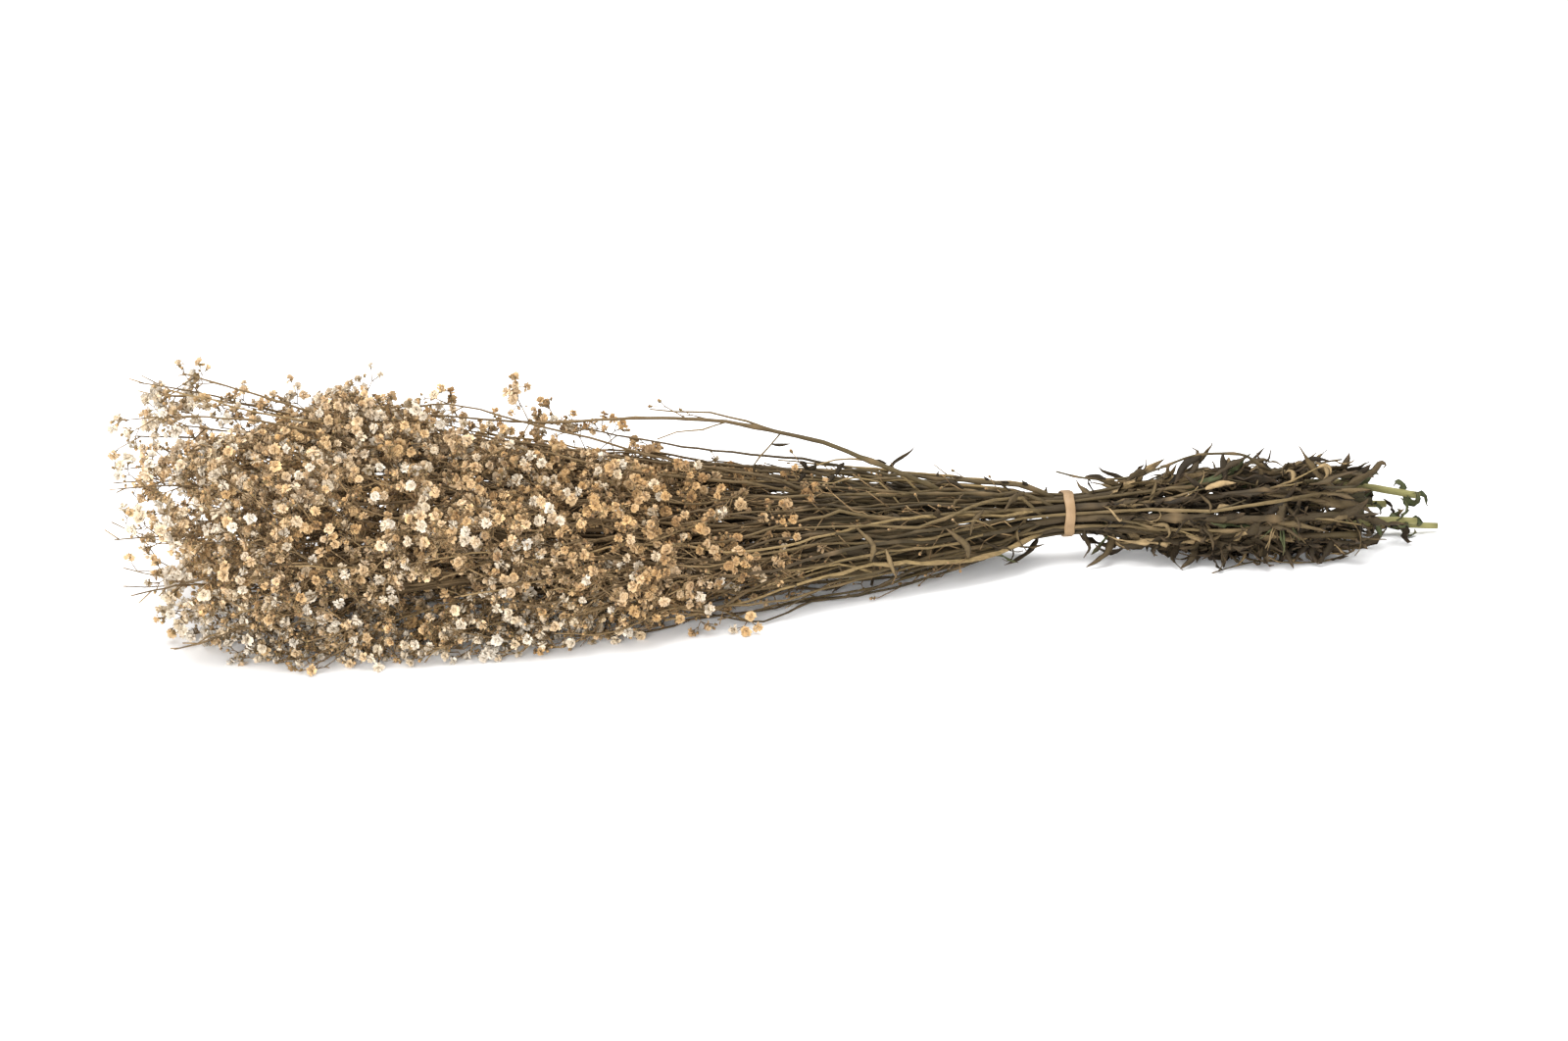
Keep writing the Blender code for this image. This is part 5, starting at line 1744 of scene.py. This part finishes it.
def draw_leafy_twigs(woods, leaves, stems):
    """The twigs and the leaves that have their own places."""
    dice = random.Random(SEED * 181)
    for index, root_x, radius, points in LEAFY_TWIGS:
        line = smooth_line([point_on(stems[index], root_x)] + [Vector(p) for p in points], 0.004)
        run = run_along(line)
        radii = np.linspace(radius, 0.6 * radius, len(line))
        add_tube(woods[index], line, radii, BRANCH_SIDES, 0.45, 0.05, np.arange(0.012, run[-1], 0.016))
        if points[0][2] < 0.01:
            for k in range(5, len(line) - 1):
                for _ in range(dice.choice((0, 1, 1))):
                    width = dice.uniform(*LOW_LEAF_WIDTHS)
                    away = Vector((dice.choice((-1, -1, 1)), dice.gauss(-0.2, 0.4), dice.uniform(0.0, 0.35)))
                    length, curl = dice.uniform(*LOW_LEAF_LENGTHS), dice.uniform(0.5, 3)
                    blade = curled_line(Vector(line[k]), away, length, curl, 0.8, dice)
                    side = away.cross(Vector((0, 0, 1))).normalized()
                    add_blade(leaves[index], blade, width, side, dice.random(), False,
                              twisted(dice, 0.5, 2), 0.4, 0.3, dice)
    for index, width, tone, points in OWN_LEAVES:
        line = smooth_line([Vector(p) for p in points], 0.0022)
        ahead = Vector(line[-1] - line[0])
        side = ahead.cross(Vector((dice.gauss(0, 0.3), -1, dice.gauss(0.2, 0.3)))).normalized()
        foot = point_on(stems[index], points[0][0])
        if (foot - Vector(points[0])).length < 0.012 and index != 2:
            line = np.vstack([smooth_line([foot, Vector(points[0])], 0.004)[:-1], line])
        add_blade(leaves[index], line, width, side, tone, False,
                  twisted(dice, 0.3, 1.2), dice.uniform(0.1, 0.5), 0.3, dice)


def draw_rubber_band(stems, material):
    """The flat rubber band, drawn tight round the stems, a little uneven, with rounded edges."""
    around, profile = BAND_RINGS, BAND_RING_POINTS
    gathered = Gathered()
    dice = random.Random(SEED * 191)
    phases = [dice.uniform(0, FULL_TURN) for _ in range(4)]
    verts = np.zeros((around, profile, 3))
    for k in range(around):
        angle = 2 * math.pi * k / around
        reach = band_reach(stems, angle)
        drift = 0.00035 * math.sin(2 * angle + phases[0]) + 0.0002 * math.sin(5 * angle + phases[1])
        lean = 0.06 * math.sin(angle + phases[2]) + 0.04 * math.sin(3 * angle + phases[3])
        wide = 0.5 * BAND_WIDTH * (1 + 0.035 * math.sin(4 * angle + phases[1]))
        for j in range(profile):
            turn = 2 * math.pi * j / profile
            across = math.copysign(abs(math.cos(turn)) ** 0.35, math.cos(turn)) * wide
            thick = math.copysign(abs(math.sin(turn)) ** 0.55, math.sin(turn)) * 0.5 * BAND_THICKNESS
            distance = reach + 0.5 * BAND_THICKNESS + thick + lean * across * 0.25
            verts[k, j] = (
                BAND_X + drift + across,
                distance * math.cos(angle),
                BAND_CENTRE_Z + distance * math.sin(angle),
            )
    k = np.repeat(np.arange(around), profile)
    j = np.tile(np.arange(profile), around)
    after, next_j = (k + 1) % around, (j + 1) % profile
    here, there = k * profile, after * profile
    loops = np.stack([here + j, there + j, there + next_j, here + next_j], 1)
    length, girth = 2 * math.pi * 0.012, 2 * (BAND_WIDTH + BAND_THICKNESS)
    maps = np.stack([
        np.stack([k, k + 1, k + 1, k], 1).ravel() / around * length,
        np.stack([j, j, j + 1, j + 1], 1).ravel() / profile * girth,
    ], 1)
    part = np.repeat(np.arange(around) / around, profile)
    mark = np.tile(np.cos(2 * np.pi * np.arange(profile) / profile), around)
    totals = np.full(len(loops), 4)
    gathered.add(verts.reshape(-1, 3), loops.ravel(), totals, maps, (length, girth), 0.5, part, mark)
    made = make_piece("rubber_band_fine", gathered, material, "rubber_band")


# Materials


NOISE_ROUGHNESS = 0.6


class Recipe:
    """A material's nodes."""

    def __init__(self, name):
        self.material = bpy.data.materials.new(name)
        self.material.use_nodes = True
        self.tree = self.material.node_tree
        self.shader = self.tree.nodes["Principled BSDF"]

    def node(self, kind, inputs=(), **settings):
        made = self.tree.nodes.new(kind)
        for key, value in settings.items():
            setattr(made, key, value)
        for key, value in dict(inputs).items():
            if isinstance(value, bpy.types.NodeSocket):
                self.tree.links.new(value, made.inputs[key])
            else:
                made.inputs[key].default_value = value
        return made

    def mark(self, name):
        return self.node("ShaderNodeAttribute", attribute_name=name).outputs["Fac"]

    def ramp(self, value, stops):
        made = self.node("ShaderNodeValToRGB", {"Fac": value})
        elements = made.color_ramp.elements
        while len(elements) < len(stops):
            elements.new(0.5)
        for element, (at, colour) in zip(elements, stops):
            element.position = at
            element.color = (*colour, 1.0)
        return made.outputs["Color"]

    def mix(self, factor, a, b, blend="MIX"):
        made = self.node("ShaderNodeMix", data_type="RGBA", blend_type=blend)
        for socket, value in ((made.inputs[0], factor), (made.inputs[6], a), (made.inputs[7], b)):
            if isinstance(value, bpy.types.NodeSocket):
                self.tree.links.new(value, socket)
            else:
                socket.default_value = (*value, 1.0) if isinstance(value, tuple) else value
        return made.outputs[2]

    def span(self, value, low, high, to_low, to_high):
        made = self.node("ShaderNodeMapRange", {"Value": value})
        for key, number in zip(("From Min", "From Max", "To Min", "To Max"), (low, high, to_low, to_high)):
            made.inputs[key].default_value = number
        return made.outputs["Result"]

    def noise(self, scale, detail, stretch=(1.0, 1.0, 1.0)):
        coordinates = self.node("ShaderNodeTexCoord").outputs["Object"]
        mapped = self.node("ShaderNodeMapping", {"Vector": coordinates, "Scale": stretch}).outputs["Vector"]
        inputs = {"Vector": mapped, "Scale": scale, "Detail": detail, "Roughness": NOISE_ROUGHNESS}
        return self.node("ShaderNodeTexNoise", inputs).outputs["Fac"]

    def finish(self, colour, roughness, height, distance, strength=0.6):
        self.tree.links.new(colour, self.shader.inputs["Base Color"])
        self.tree.links.new(roughness, self.shader.inputs["Roughness"])
        bump = self.node("ShaderNodeBump", {"Height": height, "Distance": distance, "Strength": strength})
        self.tree.links.new(bump.outputs["Normal"], self.shader.inputs["Normal"])
        return self.material


def floret_material():
    r = Recipe("dried_petals")
    tone, part, mark = r.mark("tone"), r.mark("part"), r.mark("mark")
    golden = r.ramp(tone, (
        (0.0, (0.085, 0.044, 0.018)), (0.25, (0.3, 0.172, 0.07)), (0.5, (0.52, 0.33, 0.142)),
        (0.78, (0.63, 0.445, 0.235)), (0.88, (0.63, 0.52, 0.365)), (1.0, (0.66, 0.6, 0.5)),
    ))
    faded = r.ramp(tone, (
        (0.0, (0.085, 0.047, 0.022)), (0.25, (0.29, 0.178, 0.09)), (0.5, (0.5, 0.36, 0.205)),
        (0.78, (0.61, 0.48, 0.33)), (0.88, (0.62, 0.53, 0.405)), (1.0, (0.65, 0.6, 0.52)),
    ))
    petal = r.mix(r.span(r.noise(48.0, 2.0), 0.42, 0.6, 0.0, 1.0), golden, faded)
    heart = r.ramp(tone, (
        (0.0, (0.06, 0.03, 0.012)), (0.55, (0.42, 0.225, 0.082)), (0.8, (0.5, 0.31, 0.13)),
        (0.9, (0.58, 0.46, 0.3)), (1.0, (0.63, 0.55, 0.43)),
    ))
    # The petals darken towards their feet: partly the florets' own golden-brown hearts, partly painted shade in
    # each floret's middle.
    colour = r.mix(r.span(part, 0.15, 0.8, 0.6, 0.0), petal, heart)
    speckle = r.noise(900.0, 4.0)
    colour = r.mix(r.span(speckle, 0.54, 0.76, 0.0, 0.4), colour, (0.34, 0.2, 0.085))
    colour = r.mix(r.span(r.noise(330.0, 2.0), 0.46, 0.64, 0.0, 0.28), colour, (0.36, 0.22, 0.1))
    shade = r.span(mark, 0.0, 1.0, 0.82, 1.1)
    grey = r.node("ShaderNodeCombineColor", {"Red": shade, "Green": shade, "Blue": shade}).outputs["Color"]
    colour = r.mix(1.0, colour, grey, "MULTIPLY")
    colour = r.mix(r.span(part, -0.05, 0.0, 1.0, 0.0), colour, (0.19, 0.13, 0.055))
    r.shader.inputs["Specular IOR Level"].default_value = 0.2
    r.shader.inputs["Sheen Weight"].default_value = 0.1
    r.shader.inputs["Sheen Roughness"].default_value = 0.5
    return r.finish(colour, r.span(speckle, 0.3, 0.7, 0.72, 0.92), r.noise(2600.0, 2.0), 0.00025)


def wood_material():
    r = Recipe("dried_stems")
    tone, green, joint = r.mark("tone"), r.mark("part"), r.mark("mark")
    grain = r.noise(1.0, 5.0, (70.0, 1100.0, 1100.0))
    patch = r.noise(45.0, 3.0)
    body = r.ramp(tone, (
        (0.0, (0.01, 0.006, 0.003)), (0.3, (0.034, 0.023, 0.01)), (0.65, (0.082, 0.056, 0.023)),
        (1.0, (0.25, 0.174, 0.075)),
    ))
    colour = r.mix(r.span(grain, 0.42, 0.66, 0.0, 0.55), body, (0.03, 0.019, 0.009))
    colour = r.mix(r.span(patch, 0.54, 0.74, 0.0, 0.35), colour, (0.17, 0.115, 0.058))
    stalk = r.mix(tone, (0.125, 0.075, 0.032), (0.28, 0.182, 0.086))
    colour = r.mix(r.span(green, -1.0, 0.0, 0.85, 0.0), colour, stalk)
    fresh = r.mix(grain, (0.15, 0.145, 0.05), (0.29, 0.26, 0.105))
    colour = r.mix(r.span(green, 0.0, 1.0, 0.0, 1.0), colour, fresh)
    colour = r.mix(r.span(joint, 0.25, 1.0, 0.0, 0.5), colour, (0.2, 0.132, 0.064))
    colour = r.mix(r.span(joint, 1.05, 1.5, 0.0, 0.9), colour, (0.42, 0.35, 0.21))
    r.shader.inputs["Specular IOR Level"].default_value = 0.28
    return r.finish(colour, r.span(grain, 0.3, 0.7, 0.6, 0.85), grain, 0.0005, 0.8)


def leaf_material():
    r = Recipe("dried_leaves")
    tone, part, edge = r.mark("tone"), r.mark("part"), r.mark("mark")
    mottle = r.noise(260.0, 5.0)
    grain = r.noise(1.0, 4.0, (130.0, 900.0, 900.0))
    dry = r.ramp(tone, (
        (0.0, (0.011, 0.0075, 0.0035)), (0.3, (0.046, 0.032, 0.015)), (0.6, (0.112, 0.078, 0.036)),
        (1.0, (0.32, 0.225, 0.112)),
    ))
    fresh = r.mix(mottle, (0.022, 0.032, 0.013), (0.095, 0.105, 0.042))
    colour = r.mix(r.span(tone, 1.5, 1.6, 0.0, 1.0), dry, fresh)
    colour = r.mix(r.span(mottle, 0.45, 0.72, 0.0, 0.6), colour, (0.03, 0.02, 0.011))
    colour = r.mix(r.span(edge, 0.0, 0.16, 0.45, 0.0), colour, (0.165, 0.117, 0.065))
    colour = r.mix(r.span(edge, 0.8, 1.0, 0.0, 0.35), colour, (0.13, 0.08, 0.043))
    colour = r.mix(r.span(part, 0.75, 1.0, 0.0, 0.4), colour, (0.105, 0.066, 0.035))
    r.shader.inputs["Specular IOR Level"].default_value = 0.22
    return r.finish(colour, r.span(grain, 0.3, 0.7, 0.62, 0.88), grain, 0.0006, 0.9)


def rubber_material():
    r = Recipe("tan_rubber_band")
    fine = r.noise(1500.0, 4.0)
    streak = r.noise(1.0, 4.0, (900.0, 140.0, 140.0))
    patch = r.noise(160.0, 3.0)
    colour = r.mix(r.span(patch, 0.35, 0.7, 0.0, 1.0), (0.215, 0.132, 0.062), (0.28, 0.18, 0.09))
    colour = r.mix(r.span(streak, 0.55, 0.75, 0.0, 0.45), colour, (0.2, 0.112, 0.048))
    colour = r.mix(r.span(fine, 0.6, 0.8, 0.0, 0.25), colour, (0.16, 0.09, 0.042))
    return r.finish(colour, r.span(fine, 0.3, 0.7, 0.48, 0.68), streak, 0.0004, 0.6)


def floor_material():
    r = Recipe("pale_floor")
    r.shader.inputs["Base Color"].default_value = (0.93, 0.93, 0.93, 1.0)
    r.shader.inputs["Roughness"].default_value = 0.9
    r.shader.inputs["Specular IOR Level"].default_value = 0.1
    return r.material


# Camera, light and floor


AZIMUTH, ELEVATION, DISTANCE = -9.0, 20.0, 1.9
LENS, SENSOR_WIDTH = 90.0, 36.0
AIM = (0.002, 0.0, 0.027)
FLOOR_SIZE = 12.0
SKY_STRENGTH = 0.85
# Each lamp's name, place, aim, width and depth, and power
LAMPS = (
    ("overhead", (-0.2, 0.15, 1.5), (0, 0, 0), (1.6, 1.1), 38.0),
    ("front", (-0.9, -1.9, 0.55), (0, 0, 0.03), (1.5, 0.7), 50.0),
)


def set_camera():
    azimuth, elevation = math.radians(AZIMUTH), math.radians(ELEVATION)
    back = Vector((
        math.sin(azimuth) * math.cos(elevation), -math.cos(azimuth) * math.cos(elevation), math.sin(elevation)
    ))
    camera = bpy.data.objects.new("camera", bpy.data.cameras.new("camera"))
    camera.data.lens = LENS
    camera.data.sensor_width = SENSOR_WIDTH
    camera.location = Vector(AIM) + Vector(SHIFT) + back * DISTANCE
    camera.rotation_euler = (-back).to_track_quat("-Z", "Y").to_euler()
    bpy.context.scene.collection.objects.link(camera)
    bpy.context.scene.camera = camera


def area_light(name, at, towards, size, power):
    lamp = bpy.data.lights.new(name, "AREA")
    lamp.shape = "RECTANGLE"
    lamp.size, lamp.size_y = size
    lamp.energy = power
    made = bpy.data.objects.new(name, lamp)
    made.location = at
    made.rotation_euler = (Vector(towards) - Vector(at)).to_track_quat("-Z", "Y").to_euler()
    bpy.context.scene.collection.objects.link(made)


def set_stage():
    bpy.ops.mesh.primitive_plane_add(size=FLOOR_SIZE, location=(0, 0, 0))
    floor = bpy.context.object
    floor.name = "floor"
    floor.data.materials.append(floor_material())
    world = bpy.data.worlds.new("studio")
    bpy.context.scene.world = world
    world.use_nodes = True
    background = world.node_tree.nodes["Background"]
    background.inputs["Color"].default_value = (1.0, 1.0, 1.0, 1.0)
    background.inputs["Strength"].default_value = SKY_STRENGTH
    for lamp in LAMPS:
        area_light(*lamp)
    bpy.context.scene.view_settings.view_transform = "Standard"
    bpy.context.scene.view_settings.look = "None"


# The bunch

STEMS = grow_bunch()
band_low, band_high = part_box("rubber_band")
band_middle_y = (band_reach(STEMS, 0.0) - band_reach(STEMS, math.pi)) / 2
SHIFT = np.array((
    (band_low.x + band_high.x) / 2 - BAND_X, (band_low.y + band_high.y) / 2 - band_middle_y, 0.0
))
FLORET_LOW = np.array(CAD_LOW) - SHIFT + np.array((0.001, 0.003, -1.0))
FLORET_HIGH = np.array(CAD_HIGH) - SHIFT - np.array((0.0, 0.003, 0.003))
LEAF_MOST_X = CAD_HIGH.x - SHIFT[0] + 0.001

set_camera()
set_stage()
WOODS = [Gathered() for _ in STEMS]
BLADES = [Gathered() for _ in STEMS]
GROWTH = Growth(STEMS)
for stem in STEMS:
    draw_stem(WOODS[stem["index"]], GROWTH, stem)
draw_companions(WOODS, GROWTH, STEMS)
draw_side_stems(WOODS, GROWTH, STEMS)
draw_long_branches(WOODS, GROWTH, STEMS)
draw_crossing_twigs(WOODS, GROWTH)
draw_twiglets(GROWTH)
draw_loose_branches(WOODS, GROWTH, STEMS)
draw_tufts(WOODS, GROWTH, STEMS)
for stem in STEMS:
    draw_leaves(BLADES[stem["index"]], stem)
draw_right_twigs(WOODS, BLADES, STEMS)
draw_leaf_clumps(BLADES, STEMS)
draw_leafy_twigs(WOODS, BLADES, STEMS)
WOOD, LEAF, PETAL = wood_material(), leaf_material(), floret_material()
SHAPES = floret_shapes()
for stem in STEMS:
    index = stem["index"]
    node = f"stem_{index + 1:02d}"
    blooms = Gathered()
    add_twigs(WOODS[index], GROWTH.twigs[index])
    add_florets(blooms, GROWTH.florets[index], SHAPES)
    for name, gathered, material in (
        ("wood", WOODS[index], WOOD),
        ("leaves", BLADES[index], LEAF),
        ("florets", blooms, PETAL),
    ):
        made = make_piece(f"{node}_{name}", gathered, material, node)
draw_rubber_band(STEMS, rubber_material())
